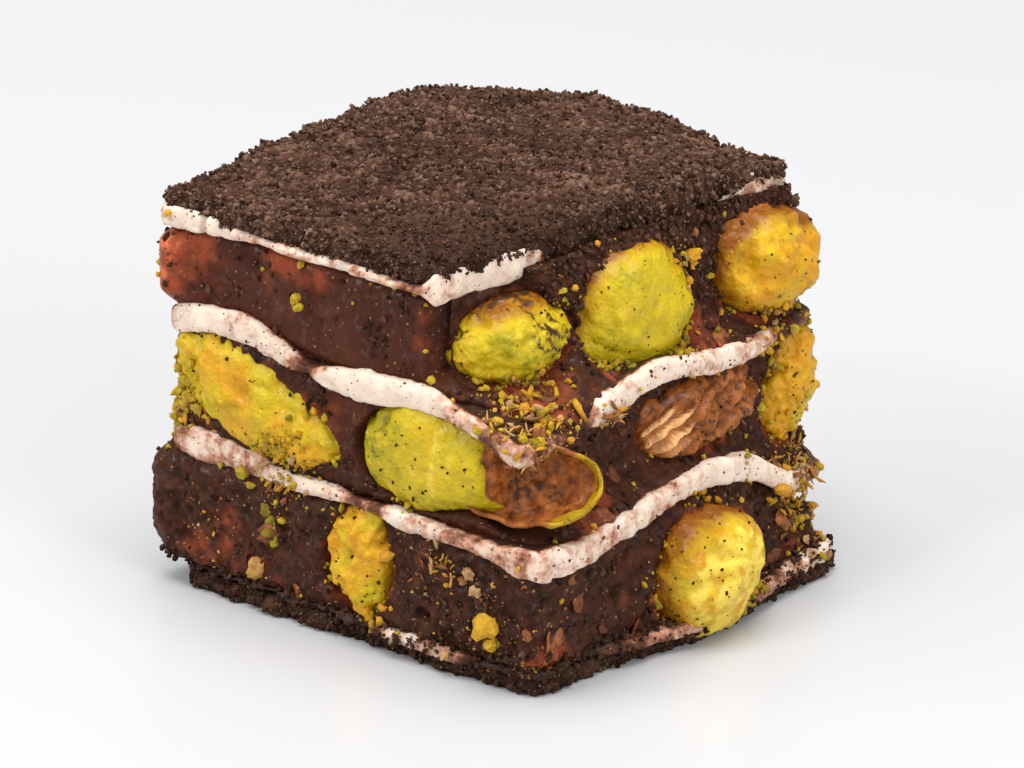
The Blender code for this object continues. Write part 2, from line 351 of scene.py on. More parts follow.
def kernel_form(node):
    """A kernel's middle, its long, wide and high axes, its half lengths, and its shape as ratios to an ellipsoid."""
    corners = node_corners(node)
    mids = (corners + np.roll(corners, -1, axis=1)) / 2
    known = np.concatenate([corners.reshape(-1, 3), mids.reshape(-1, 3), corners.mean(1)])
    known = np.unique(known.round(3), axis=0)
    middle = (known.min(0) + known.max(0)) / 2
    known = middle + (known - middle) * GROWN.get(node, (1, 1, 1))
    spread, axes = np.linalg.eigh(np.cov((known - middle).T))
    axes = axes[:, ::-1].T
    axes[2] = np.cross(axes[0], axes[1])
    own = (known - middle) @ axes.T
    halves = np.abs(own).max(0)
    own = own / halves
    size = np.linalg.norm(own, axis=1)
    return Form(middle + SETTLED.get(node, (0, 0, 0)), axes, halves, own / size[:, None], size)


def form_ratio(form, ways):
    """How far the kernel's skin lies out in unit directions, as a share of its ellipsoid: nearby ratios, averaged."""
    weight = np.exp(22 * (ways @ form.ways.T - 1))
    return (weight @ form.ratios) / weight.sum(-1)


def outside_kernel(form, points):
    """Distance in millimetres from a kernel's skin, roughly, and negative inside it."""
    own = ((points - form.middle) @ form.axes.T) / form.halves
    size = np.linalg.norm(own, axis=-1)
    result = np.full(size.shape, 9.0)
    near = size < 2.2
    ways = own[near] / np.maximum(size[near][:, None], 1e-6)
    stretch = np.linalg.norm(ways * form.halves, axis=-1)
    result[near] = (size[near] - form_ratio(form, ways)) * stretch
    return result


KERNEL_NODES = sorted(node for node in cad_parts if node.startswith("kernel_"))
FORMS = {node: kernel_form(node) for node in KERNEL_NODES}


def kernels_of(filling):
    return [node for node in KERNEL_NODES if node.split("_")[1] == filling.split("_")[1]]


# --- Shader helpers ----------------------------------------------------------------------------------------


class Tree:
    """A short way to add nodes to a node tree and to join them."""

    def __init__(self, tree):
        self.tree = tree

    def add(self, kind, inputs=None, **settings):
        node = self.tree.nodes.new(kind)
        for label, value in settings.items():
            setattr(node, label, value)
        for label, value in (inputs or {}).items():
            self.feed(node.inputs[label], value)
        return node

    def feed(self, socket, value):
        if isinstance(value, bpy.types.NodeSocket):
            self.tree.links.new(value, socket)
        else:
            socket.default_value = value

    def blend(self, share, first, second, mode="MIX"):
        """Colours first and second, mixed by share."""
        node = self.add("ShaderNodeMix", data_type="RGBA", blend_type=mode)
        self.feed(node.inputs[0], share)
        self.feed(node.inputs[6], first)
        self.feed(node.inputs[7], second)
        return node.outputs[2]

    def sums(self, operation, first, second=0.0, clamp=False):
        node = self.add("ShaderNodeMath", operation=operation, use_clamp=clamp)
        self.feed(node.inputs[0], first)
        self.feed(node.inputs[1], second)
        return node.outputs[0]

    def ramp(self, value, low, high, to_low=0.0, to_high=1.0):
        """value carried smoothly from the span low..high to the span to_low..to_high."""
        node = self.add("ShaderNodeMapRange", interpolation_type="SMOOTHSTEP")
        for label, number in zip(range(1, 5), (low, high, to_low, to_high)):
            self.feed(node.inputs[label], number)
        self.feed(node.inputs[0], value)
        return node.outputs[0]

    def attribute(self, label):
        return self.add("ShaderNodeAttribute", attribute_name=label).outputs["Fac"]


def new_group(name, inputs, outputs):
    """(group, tree helper, input node, output node), with float, vector or colour sockets."""
    group = bpy.data.node_groups.new(name, "ShaderNodeTree")
    for label, (kind, value) in inputs.items():
        socket = group.interface.new_socket(name=label, in_out="INPUT", socket_type="NodeSocket" + kind)
        if value is not None:
            socket.default_value = value
    for label, kind in outputs.items():
        group.interface.new_socket(name=label, in_out="OUTPUT", socket_type="NodeSocket" + kind)
    tree = Tree(group)
    return group, tree, tree.add("NodeGroupInput"), tree.add("NodeGroupOutput")


def mottle_group():
    """Soft patches from 0 to 1: noise of a given size in millimetres, with its contrast raised."""
    group, tree, given, result = new_group(
        "soft_patches",
        {"Vector": ("Vector", None), "Size": ("Float", 2.0), "Contrast": ("Float", 1.0), "Detail": ("Float", 3.0)},
        {"Value": "Float"},
    )
    scale = tree.sums("DIVIDE", 1000.0, given.outputs["Size"])
    patches = tree.add("ShaderNodeTexNoise", {"Vector": given.outputs["Vector"], "Scale": scale, "Detail": given.outputs["Detail"]})
    away = tree.sums("SUBTRACT", patches.outputs["Fac"], 0.5)
    stretched = tree.sums("MULTIPLY", away, given.outputs["Contrast"])
    tree.feed(result.inputs["Value"], tree.sums("ADD", stretched, 0.5, clamp=True))
    return group


def speck_group():
    """A mask of small round specks: places nearer than a set share to the middle of a random cell."""
    group, tree, given, result = new_group(
        "small_specks",
        {"Vector": ("Vector", None), "Size": ("Float", 0.5), "Share": ("Float", 0.3)},
        {"Mask": "Float"},
    )
    scale = tree.sums("DIVIDE", 1000.0, given.outputs["Size"])
    cells = tree.add("ShaderNodeTexVoronoi", {"Vector": given.outputs["Vector"], "Scale": scale})
    chosen = tree.add("ShaderNodeSeparateColor", {"Color": cells.outputs["Color"]})
    limit = tree.sums("MULTIPLY", given.outputs["Share"], chosen.outputs[0])
    inner = tree.sums("MULTIPLY", limit, 0.6)
    mask = tree.ramp(cells.outputs["Distance"], inner, limit, 1.0, 0.0)
    tree.feed(result.inputs["Mask"], mask)
    return group


def grit_group():
    """A height from 0 to 1 for fine grit: coarse and fine noise added over small cells."""
    group, tree, given, result = new_group(
        "fine_grit",
        {"Vector": ("Vector", None), "Size": ("Float", 0.3)},
        {"Height": "Float"},
    )
    scale = tree.sums("DIVIDE", 1000.0, given.outputs["Size"])
    grit = tree.add("ShaderNodeTexNoise", {"Vector": given.outputs["Vector"], "Scale": scale, "Detail": 4.0, "Roughness": 0.65})
    cells = tree.add("ShaderNodeTexVoronoi", {"Vector": given.outputs["Vector"], "Scale": scale})
    total = tree.sums("ADD", grit.outputs["Fac"], cells.outputs["Distance"])
    tree.feed(result.inputs["Height"], tree.sums("MULTIPLY", total, 0.6))
    return group


MOTTLE = mottle_group()
SPECKS = speck_group()
GRIT = grit_group()


def new_material(name, roughness, specular=0.5):
    """(material, tree helper, Principled node, object coordinates) of a new material."""
    material = bpy.data.materials.new(name)
    material.use_nodes = True
    tree = Tree(material.node_tree)
    shader = material.node_tree.nodes["Principled BSDF"]
    shader.inputs["Roughness"].default_value = roughness
    shader.inputs["Specular IOR Level"].default_value = specular
    place = tree.add("ShaderNodeTexCoord").outputs["Object"]
    return material, tree, shader, place


def patches(tree, place, size, contrast, detail=3.0):
    node = tree.add("ShaderNodeGroup", node_tree=MOTTLE)
    for label, value in {"Vector": place, "Size": size, "Contrast": contrast, "Detail": detail}.items():
        tree.feed(node.inputs[label], value)
    return node.outputs["Value"]


def specks(tree, place, size, share):
    node = tree.add("ShaderNodeGroup", node_tree=SPECKS)
    for label, value in {"Vector": place, "Size": size, "Share": share}.items():
        tree.feed(node.inputs[label], value)
    return node.outputs["Mask"]


def grit_bump(tree, shader, place, size, depth, strength=1.0):
    """Feeds the shader's normal from fine grit of a size and depth in millimetres."""
    node = tree.add("ShaderNodeGroup", node_tree=GRIT)
    tree.feed(node.inputs["Vector"], place)
    tree.feed(node.inputs["Size"], size)
    bump = tree.add("ShaderNodeBump", {"Height": node.outputs["Height"], "Distance": depth * MM, "Strength": strength})
    tree.feed(shader.inputs["Normal"], bump.outputs["Normal"])


def colour(red, green, blue):
    return (red, green, blue, 1.0)


# --- Materials ---------------------------------------------------------------------------------------------


def crumb_material():
    """Dark cocoa crumbs, each a little lighter or darker, with pale dust between them."""
    material, tree, shader, place = new_material("cocoa_crumbs", 0.95, 0.06)
    tint = tree.attribute("tint")
    base = tree.blend(tree.ramp(tint, 0.0, 0.5), colour(0.014, 0.006, 0.0035), colour(0.072, 0.034, 0.021))
    base = tree.blend(tree.ramp(tint, 0.4, 1.0), base, colour(0.22, 0.125, 0.083))
    soft = patches(tree, place, 2.6, 1.8)
    base = tree.blend(soft, tree.blend(0.35, base, colour(0.020, 0.008, 0.005)), tree.blend(0.22, base, colour(0.15, 0.082, 0.056)))
    base = tree.blend(specks(tree, place, 0.24, 0.30), base, colour(0.24, 0.150, 0.105))
    tree.feed(shader.inputs["Base Color"], base)
    grit_bump(tree, shader, place, 0.16, 0.09)
    return material


def nougat_material():
    """Off-white nougat, smeared with chocolate where the knife dragged it, and dusted with crumbs."""
    material, tree, shader, place = new_material("white_nougat", 0.6, 0.2)
    smear = tree.attribute("smear")
    broken = patches(tree, place, 0.9, 2.0)
    fine = patches(tree, place, 0.28, 1.8)
    mask = tree.sums("ADD", smear, tree.sums("MULTIPLY", tree.sums("SUBTRACT", broken, 0.5), 0.55))
    mask = tree.sums("ADD", mask, tree.sums("MULTIPLY", tree.sums("SUBTRACT", fine, 0.5), 0.3))
    white = tree.blend(patches(tree, place, 1.6, 1.6), colour(0.62, 0.46, 0.36), colour(0.86, 0.74, 0.62))
    pink = tree.blend(tree.ramp(mask, 0.15, 0.60), white, colour(0.44, 0.20, 0.12))
    base = tree.blend(tree.ramp(mask, 0.45, 0.85), pink, colour(0.10, 0.032, 0.016))
    base = tree.blend(tree.ramp(mask, 0.85, 1.2), base, colour(0.035, 0.014, 0.008))
    base = tree.blend(specks(tree, place, 0.42, 0.24), base, colour(0.09, 0.035, 0.02))
    tree.feed(shader.inputs["Base Color"], base)
    tree.feed(shader.inputs["Roughness"], tree.ramp(mask, 0.2, 0.9, 0.6, 0.42))
    shader.inputs["Subsurface Weight"].default_value = 0.2
    shader.inputs["Subsurface Scale"].default_value = 0.0006
    grit_bump(tree, shader, place, 0.35, 0.05)
    return material


def paste_material():
    """Dark chocolate paste, half glossy on the knife's cut and duller and darker where it tore, with redder thin
    places; the torn colours also paint a darker line of shade in the groove round each kernel.
    """
    material, tree, shader, place = new_material("chocolate_paste", 0.4, 0.09)
    torn = tree.attribute("torn")
    red = tree.attribute("red")
    cut = tree.blend(patches(tree, place, 2.2, 1.6), colour(0.040, 0.0100, 0.0046), colour(0.088, 0.0245, 0.0125))
    rough = tree.blend(patches(tree, place, 0.8, 2.2), colour(0.013, 0.0045, 0.0025), colour(0.078, 0.025, 0.0125))
    rough = tree.blend(tree.ramp(tree.attribute("clod"), 0.55, 1.0), rough, colour(0.125, 0.055, 0.032))
    rough = tree.blend(tree.ramp(tree.attribute("clod"), 0.35, 0.0), rough, colour(0.007, 0.003, 0.002))
    # torn also holds the groove round each kernel, where these darker colours paint a line of shade.
    base = tree.blend(torn, cut, rough)
    ruddy = tree.sums("MULTIPLY", red, tree.sums("ADD", patches(tree, place, 1.1, 1.6), 0.25))
    base = tree.blend(tree.ramp(ruddy, 0.2, 0.8), base, colour(0.26, 0.052, 0.020))
    base = tree.blend(tree.ramp(ruddy, 0.8, 1.3), base, colour(0.60, 0.150, 0.060))
    base = tree.blend(specks(tree, place, 0.5, 0.24), base, colour(0.22, 0.12, 0.05))
    tree.feed(shader.inputs["Base Color"], base)
    shine = tree.ramp(patches(tree, place, 0.6, 1.8), 0.2, 0.8, -0.14, 0.14)
    tree.feed(shader.inputs["Roughness"], tree.sums("ADD", tree.ramp(torn, 0.0, 1.0, 0.36, 0.48), shine))
    tree.feed(shader.inputs["Coat Weight"], tree.ramp(patches(tree, place, 0.45, 2.0), 0.60, 0.85, 0.0, 0.40))
    shader.inputs["Coat Roughness"].default_value = 0.18
    grit_bump(tree, shader, place, 0.30, 0.08)
    return material


def kernel_material():
    """Pistachio flesh from green through yellow to orange, under patches of its thin skin, with dark crumbs on it. Its
    edges turn brown, partly its own outline and partly painted shade, and a dark mask adds painted shade where it sits
    sunk in the paste.
    """
    material, tree, shader, place = new_material("pistachio_kernel", 0.42, 0.12)
    tone = tree.attribute("tone")
    varied = tree.sums("ADD", tone, tree.sums("MULTIPLY", tree.sums("SUBTRACT", patches(tree, place, 1.5, 1.6), 0.5), 0.55))
    varied = tree.sums("ADD", varied, tree.sums("MULTIPLY", tree.sums("SUBTRACT", patches(tree, place, 0.35, 1.6), 0.5), 0.30))
    flesh = tree.blend(tree.ramp(varied, 0.0, 0.5), colour(0.32, 0.265, 0.006), colour(0.54, 0.395, 0.010))
    flesh = tree.blend(tree.ramp(varied, 0.5, 1.0), flesh, colour(0.60, 0.285, 0.010))
    flesh = tree.blend(tree.ramp(varied, 0.22, 0.0, 0.0, 0.8), flesh, colour(0.19, 0.175, 0.005))
    pale = tree.sums("MULTIPLY", tree.attribute("pale"), patches(tree, place, 0.9, 1.6))
    flesh = tree.blend(tree.ramp(pale, 0.2, 0.8), flesh, colour(0.78, 0.58, 0.075))
    # rim darkens the flesh to orange brown, then deep red brown, towards the kernel's edges: partly its own brown
    # outline, partly painted shade where it turns away from the cut face.
    rim = tree.sums("ADD", tree.attribute("rim"), tree.sums("MULTIPLY", tree.sums("SUBTRACT", patches(tree, place, 0.7, 1.8), 0.5), 0.3))
    flesh = tree.blend(tree.ramp(rim, 0.15, 0.6, 0.0, 0.75), flesh, colour(0.38, 0.195, 0.004))
    flesh = tree.blend(tree.ramp(rim, 0.55, 1.0, 0.0, 0.95), flesh, colour(0.22, 0.062, 0.004))
    skin = tree.attribute("skin")
    torn = tree.sums("ADD", skin, tree.sums("MULTIPLY", tree.sums("SUBTRACT", patches(tree, place, 0.8, 2.0), 0.5), 0.5))
    torn = tree.ramp(torn, 0.42, 0.66)
    skinned = tree.blend(patches(tree, place, 0.7, 2.2), colour(0.46, 0.145, 0.028), colour(0.10, 0.024, 0.006))
    skinned = tree.blend(tree.ramp(tree.attribute("pale"), 0.45, 1.0), skinned, colour(0.86, 0.46, 0.19))
    base = tree.blend(torn, flesh, skinned)
    # This mask holds dark blotches and painted shade where the kernel sits sunk in the paste, and paints both dark.
    grime_and_shade = tree.attribute("grime_and_shade")
    dirt_and_shade = tree.sums("ADD", grime_and_shade, tree.sums("MULTIPLY", tree.sums("SUBTRACT", patches(tree, place, 0.5, 2.4), 0.5), 0.7))
    base = tree.blend(tree.ramp(dirt_and_shade, 0.5, 0.9), base, colour(0.055, 0.022, 0.007))
    base = tree.blend(specks(tree, place, 0.7, 0.18), base, colour(0.05, 0.022, 0.010))
    tree.feed(shader.inputs["Base Color"], base)
    tree.feed(shader.inputs["Roughness"], tree.ramp(patches(tree, place, 0.9, 1.5), 0.2, 0.8, 0.24, 0.52))
    shader.inputs["Coat Weight"].default_value = 0.18
    shader.inputs["Coat Roughness"].default_value = 0.16
    shader.inputs["Subsurface Weight"].default_value = 0.25
    shader.inputs["Subsurface Scale"].default_value = 0.0010
    shader.inputs["Subsurface Radius"].default_value = (1.0, 0.7, 0.2)
    grit_bump(tree, shader, place, 0.30, 0.11)
    return material


def bit_material():
    """Chopped pistachio: each bit green, yellow, beige or brown by its own number."""
    material, tree, shader, place = new_material("nut_bits", 0.5, 0.15)
    tint = tree.attribute("tint")
    base = tree.blend(tree.ramp(tint, 0.0, 0.3), colour(0.20, 0.17, 0.010), colour(0.48, 0.35, 0.018))
    base = tree.blend(tree.ramp(tint, 0.35, 0.62), base, colour(0.62, 0.30, 0.018))
    base = tree.blend(tree.ramp(tint, 0.68, 0.8), base, colour(0.50, 0.31, 0.15))
    base = tree.blend(tree.ramp(tint, 0.82, 0.95), base, colour(0.24, 0.08, 0.030))
    base = tree.blend(patches(tree, place, 0.4, 1.8), base, tree.blend(0.5, base, colour(0.16, 0.08, 0.012)))
    tree.feed(shader.inputs["Base Color"], base)
    shader.inputs["Subsurface Weight"].default_value = 0.15
    shader.inputs["Subsurface Scale"].default_value = 0.0005
    grit_bump(tree, shader, place, 0.16, 0.05)
    return material


def flake_material():
    """Flakes of kernel skin: thin, wrinkled, from orange red to deep brown."""
    material, tree, shader, place = new_material("skin_flakes", 0.42, 0.2)
    tint = tree.attribute("tint")
    base = tree.blend(tint, colour(0.10, 0.026, 0.010), colour(0.50, 0.17, 0.055))
    base = tree.blend(patches(tree, place, 0.5, 2.0), base, colour(0.08, 0.024, 0.010))
    tree.feed(shader.inputs["Base Color"], base)
    grit_bump(tree, shader, place, 0.22, 0.06)
    return material


CRUMBS = crumb_material()
NOUGAT = nougat_material()
PASTE = paste_material()
KERNEL = kernel_material()
BITS = bit_material()
FLAKES = flake_material()


# --- Nougat sheets -----------------------------------------------------------------------------------------

# Stations round a sheet's edge run from the front left corner, 5, by the front right corner, 7, to the back right
# corner, 9, and on to 13, which is the front left corner again. Each row holds a station, the thickness of the
# edge in millimetres, and how smeared it is, from 0 to 1.
RIMS = {
    "sheet_top": (
        (5.0, 1.3, 0.30), (5.2, 1.4, 0.10), (5.5, 1.1, 0.12), (5.62, 0.6, 0.30), (6.2, 0.65, 0.25), (6.7, 0.5, 0.35),
        (6.85, 0.4, 0.80), (6.95, 0.6, 0.60), (7.02, 2.4, 0.10), (7.3, 2.1, 0.15), (7.55, 1.7, 0.35), (7.68, 0.6, 1.0),
        (8.50, 0.6, 1.0), (8.60, 2.0, 0.40), (8.95, 2.0, 0.45), (9.2, 1.1, 0.30), (12.8, 1.1, 0.35),
    ),
    "sheet_upper": (
        (5.0, 1.6, 0.30), (5.1, 1.8, 0.20), (5.4, 1.7, 0.22), (5.6, 1.3, 0.10), (5.74, 0.9, 0.30), (5.82, 0.4, 0.85),
        (5.92, 1.2, 0.10), (6.1, 1.7, 0.05), (6.45, 1.6, 0.08), (6.7, 1.1, 0.25), (6.85, 1.0, 0.65), (6.95, 1.4, 0.35), (7.05, 1.3, 0.40),
        (7.14, 0.8, 0.85), (7.42, 0.7, 1.0), (7.52, 1.5, 0.20), (8.0, 1.7, 0.12), (8.4, 1.4, 0.25), (8.66, 1.2, 0.30),
        (8.75, 0.8, 0.9), (9.0, 0.9, 0.80), (9.2, 1.1, 0.30), (12.8, 1.4, 0.35),
    ),
    "sheet_lower": (
        (5.0, 1.6, 0.65), (5.1, 2.0, 0.40), (5.25, 2.1, 0.35), (5.45, 1.7, 0.40), (5.6, 1.1, 0.20), (5.9, 0.9, 0.30),
        (6.0, 0.5, 0.80), (6.15, 0.6, 0.75), (6.25, 1.2, 0.15), (6.4, 1.0, 0.35), (6.6, 0.9, 0.55), (6.8, 1.1, 0.60),
        (6.9, 1.7, 0.50), (7.1, 1.9, 0.25), (7.3, 1.5, 0.35), (7.6, 1.7, 0.25), (7.8, 1.4, 0.42), (8.3, 1.7, 0.15), (8.7, 1.7, 0.20),
        (8.8, 1.2, 0.60), (9.0, 1.0, 0.70), (9.2, 1.1, 0.30), (12.8, 1.3, 0.40),
    ),
    "sheet_base": (
        (5.0, 0.4, 1.4), (5.5, 0.5, 1.2), (6.1, 0.7, 1.1), (6.25, 1.0, 0.35), (6.55, 1.0, 0.40), (6.7, 0.7, 1.1),
        (7.2, 0.7, 1.2), (7.6, 0.8, 0.85), (7.9, 0.9, 0.50), (8.4, 0.9, 0.75), (8.7, 1.2, 0.35), (9.0, 1.3, 0.35),
        (9.2, 1.1, 0.60), (12.8, 0.8, 1.1),
    ),
}

STATION = (np.arange(ROUND) * 8 / ROUND - 5) % 8 + 5


def rim_values(node, column):
    """A column of the sheet's edge table, read off by straight lines between stations at every point round it."""
    table = np.array(RIMS[node])
    return np.interp(STATION, table[:, 0], table[:, column], period=8)


def nougat_sheet(node, seed):
    """A nougat sheet: a thin wavy slab with a rounded, slightly torn edge.

    The edge goes in and out by noise. Its section is a half ellipse as thick as the edge table says. The middle
    surface waves by slow noise that grows towards the rim. The thickness swells and thins by noise too.
    """
    edge_rows = 15
    turn = np.linspace(-pi / 2, pi / 2, edge_rows)
    profile = flat_rows(5, 0.0, 0.3, 0.8) + flat_rows(14, 0.0, 0.83, 0.985)
    profile += [(0.985, (1 + sin(a)) / 2, 0.40 * abs(cos(a)) ** 0.6) for a in turn]
    profile += flat_rows(14, 1.0, 0.985, 0.83) + flat_rows(5, 1.0, 0.8, 0.3)
    grid, ways = layer_grid(node, profile)
    reach = np.array([row[0] for row in profile])[:, None]
    near_rim = ease(0.86, 0.97, reach)
    flat = grid * (1, 1, 0.0) + (0, 0, seed * 13.0)
    wander = 0.34 * noise(flat, 3.4, seed, 2) + 0.22 * noise(flat, 0.9, seed + 5, 2) + 0.08 * noise(grid, 0.3, seed + 7)
    wander = wander - 0.5 * ease(0.35, 0.7, noise(flat, 1.5, seed + 8, 2))
    grid = grid + ways * (near_rim * wander)[..., None]
    buried = ease(0.9, 1.15, rim_values(node, 2)) * near_rim
    grid = grid + ways * (buried * (0.40 * noise(grid, 0.6, seed + 15, 3) - 0.6))[..., None]
    middle = (grid[:, :, 2] + grid[::-1, :, 2]) / 2
    above = grid[:, :, 2] - middle
    thick = rim_values(node, 1) / 0.9
    hidden = ease(9.1, 9.6, STATION) * ease(13.0, 12.6, STATION)
    thick = thick * (1 + 0.45 * hidden * noise(flat[-1], 3.0, seed + 17, 2))
    fatter = (1 + near_rim * (thick - 1)) * (1.0 + 0.34 * noise(flat, 2.0, seed + 9, 3))
    wave = 0.16 * noise(flat, 4.0, seed + 11, 2) * near_rim
    lumps = 0.06 * noise(grid, 0.45, seed + 13, 2)
    grid[:, :, 2] = middle + above * fatter + wave + lumps * np.sign(above)
    return grid, ways


def build_sheets():
    """The four sheets, with a smear mask from 0 to 1 that says where chocolate was dragged over the nougat.

    The mask follows the edge table, takes noise on top, and darkens the ledge that lies inside the edge.
    """
    built = {}
    for order, node in enumerate(SHEETS):
        grid, ways = nougat_sheet(node, 20 + 7 * order)
        bands = noise(grid * (1, 1, 0.6), 2.6, 61 + order, 3)
        thin = noise(grid, 0.7, 71 + order, 2)
        smear = rim_values(node, 2) + 0.32 * bands + 0.20 * thin
        upper = np.arange(len(grid))[:, None] >= len(grid) // 2 + 3
        inside = -beyond(node, grid)
        smear = smear + 1.2 * upper * ease(0.35, 0.95, inside + 0.25 * bands)
        piece = closed_rings("nougat_" + node, grid, NOUGAT, {"smear": np.clip(smear, 0, 1.6)})
        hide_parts(node)
        built[node] = grid
    return built


# --- Chocolate fillings ------------------------------------------------------------------------------------


# Ruddy patches on the front face, as (x, z, radius, strength).
RUDDY = (
    (-18.0, 20.4, 3.2, 2.8), (-14.8, 23.3, 1.6, 0.7), (-12.0, 21.5, 2.4, 0.35), (-6.8, 23.6, 1.7, 0.8), (-3.4, 23.2, 1.2, 0.5),
    (-12.0, 3.0, 1.0, 0.4), (15.2, 2.4, 1.4, 0.9), (1.6, 14.0, 1.0, 0.7), (-1.0, 9.4, 0.9, 0.5),
)

# The same on the right face, as (y, z, radius, strength).
RUDDY_RIGHT = (
    (-12.6, 17.4, 2.2, 0.6), (-7.6, 11.4, 1.6, 0.7), (-3.0, 14.6, 2.4, 0.4), (5.4, 12.0, 1.8, 0.7),
    (-5.0, 23.6, 1.6, 0.5), (-9.6, 8.6, 1.4, 0.5), (0.0, 4.0, 1.6, 0.4),
)


# The bowl of skin at the front right corner: its middle, and its half length, half height and depth.
BOWL_MIDDLE = np.array([12.9, -13.7, 13.5])
BOWL_HALVES = (4.5, 2.75, 2.3)
BOWL_LONG = np.array([0.772, 0.636, 0.0])
BOWL_OUT = np.array([0.596, -0.723, 0.349])


def in_bowl(points):
    """How far points lie from the bowl's middle line, as a share of its rim's ellipse, on its open side."""
    away = points - BOWL_MIDDLE
    long = (away @ BOWL_LONG) / BOWL_HALVES[0]
    high = (away @ np.cross(BOWL_OUT, BOWL_LONG)) / BOWL_HALVES[1]
    return np.hypot(long, high) + 9.0 * (away @ BOWL_OUT < -3.0)


def knife_cut(filling, grid):
    """Where the knife left the paste smooth, from 0 to 1: patches, most of them on the left of the front face."""
    smooth = 0.20 + 0.9 * noise(grid, 5.5, 41, 2)
    front = ease(1.5, 0.2, -beyond(filling, grid)) * ease(-13.8, -15.0, grid[..., 1])
    if filling == "filling_upper":
        smooth = smooth + 1.3 * front * ease(8, 3, grid[..., 0]) - 0.8 * (1 - front) * ease(6, 8, grid[..., 0])
    if filling == "filling_lower":
        smooth = smooth - 0.7 * ease(-6, 0, grid[..., 0])
    return np.clip(smooth, 0, 1)


def build_filling(filling, seed):
    """A filling: its cut wall is pushed in and out by noise, sinks beside each kernel and stays behind it.

    The wall falls back a little under each sheet, and its foot spreads over the ledge of the sheet below as a
    ragged skirt. Smooth patches keep only the slow waves and faint drag marks, and torn patches get ridges,
    lumps and pits.
    """
    wall_rows = 52
    profile = flat_rows(5, 0.0, 0.4, 0.93)
    profile += [(1.0, share, 0.0) for share in np.linspace(0, 1, wall_rows)]
    profile += flat_rows(5, 1.0, 0.93, 0.4)
    grid, ways = layer_grid(filling, profile)
    share = np.array([row[1] for row in profile])[:, None]
    held = np.array([ease(0.8, 1.0, row[0]) for row in profile])[:, None]
    smooth = knife_cut(filling, grid)
    torn = 1 - smooth
    push = 0.30 * noise(grid, 6.0, seed, 2) + 0.12 * noise(grid, 2.4, seed + 1, 2)
    ridge = 1 - 2 * np.abs(noise(grid, 1.9, seed + 2, 2))
    push += torn * (0.24 * ridge + 0.24 * noise(grid, 0.8, seed + 3, 3))
    away, tag = grains(grid, 1.15, seed + 4)
    push += torn * 0.55 * np.maximum(0, 0.55 - away) * (tag > 0.45)
    away, clod = grains(grid, 0.55, seed + 5)
    push += torn * 0.42 * np.maximum(0, 0.6 - away) * clod
    pits = ease(0.25, 0.75, noise(grid, 1.3, seed + 8, 2))
    push -= (0.12 + torn) * 0.45 * pits
    push -= 0.5 * np.exp(-(((1 - share) / 0.09) ** 2)) + 0.3 * np.exp(-((share / 0.05) ** 2))
    push += smooth * 0.035 * noise(grid * (1, 1, 0.22), 0.8, seed + 6, 2)
    nearest = np.full(grid.shape[:2], 9.0)
    for node in kernels_of(filling):
        nearest = np.minimum(nearest, outside_kernel(FORMS[node], grid))
    lip = np.exp(-(((nearest - 0.75) / 0.45) ** 2))
    groove = np.exp(-((np.maximum(nearest, 0) / 0.28) ** 2))
    push += 0.12 * lip - 0.30 * groove - 0.9 * ease(0.1, -0.7, nearest)
    carve = np.zeros(grid.shape[:2])
    for node in kernels_of(filling):
        for depth in (0.3, 0.6, 0.9, 1.2, 1.5):
            behind = outside_kernel(FORMS[node], grid - ways * depth)
            carve = np.maximum(carve, (depth + 0.12) * ease(0.15, -0.15, behind))
    push = np.minimum(push, 0.1 - carve) * (carve > 0.05) + push * (carve <= 0.05)
    if filling == "filling_middle":
        push -= 2.6 * ease(1.2, 0.9, in_bowl(grid))
    if filling == "filling_upper":
        rise = (grid[..., 2] - 21.4) / np.where(grid[..., 2] > 21.4, 7.0, 2.8)
        push -= 1.9 * ease(1.2, 0.95, np.hypot((grid[..., 1] + 12.4) / 4.3, rise)) * (grid[..., 0] > 5.4)
    if filling == "filling_upper":
        push += 2.1 * np.exp(-(((grid[..., 0] + 16) / 2.6) ** 2 + ((grid[..., 1] + 16) / 2.6) ** 2)) * ease(0.0, 0.3, share) * ease(1.0, 0.75, share)
    if filling == "filling_lower":
        push += 0.8 * np.exp(-(((grid[..., 0] + 16) / 2.2) ** 2 + ((grid[..., 1] + 16) / 2.2) ** 2)) * ease(-0.35, 0.4, share) * ease(1.0, 0.8, share)
    below = BETWEEN[filling][0]
    ledge = np.maximum(0, -beyond(below, grid) - 0.75 + 0.22 * noise(grid * (1, 1, 0), 1.6, seed + 14, 2))
    skirt = np.exp(-((share / 0.15) ** 2)) + 0.18 * np.exp(-((share / 0.4) ** 2))
    push += ledge * skirt * (1 + 0.12 * noise(grid, 0.8, seed + 15, 2))
    grid = grid + ways * (push * held)[..., None]
    low, high = layer_surfaces(filling)
    bottom, top = low(grid[..., :2]), high(grid[..., :2])
    grid[..., 2] = bottom + share * (top - bottom)
    red = np.clip(0.05 + 0.8 * noise(grid, 3.0, seed + 12, 2), 0, 1) + 0.75 * np.exp(-((nearest / 0.55) ** 2))
    for x, z, radius, strength in RUDDY:
        away = np.hypot(grid[..., 0] - x, grid[..., 2] - z) / radius
        red = red + strength * np.exp(-(away**2)) * ease(-10, -14, grid[..., 1])
    for y, z, radius, strength in RUDDY_RIGHT:
        away = np.hypot(grid[..., 1] - y, grid[..., 2] - z) / radius
        red = red + strength * np.exp(-(away**2)) * ease(7, 11, grid[..., 0])
    # The torn mask takes in the groove round each kernel, which paints a darker line of shade where paste meets kernel,
    # and the foot of the skirt on the ledge below.
    deep = np.clip(torn + 0.5 * groove + 0.5 * skirt * (ledge > 0.3), 0, 1)
    marks = {"torn": deep, "red": np.clip(red, 0, 1.3), "clod": clod * ease(0.75, 0.35, away) + 0.3 * ease(0.35, 0.75, away)}
    piece = closed_rings("paste_" + filling, grid, PASTE, marks)
    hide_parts(filling)
    return grid


# --- Crumb coats -------------------------------------------------------------------------------------------


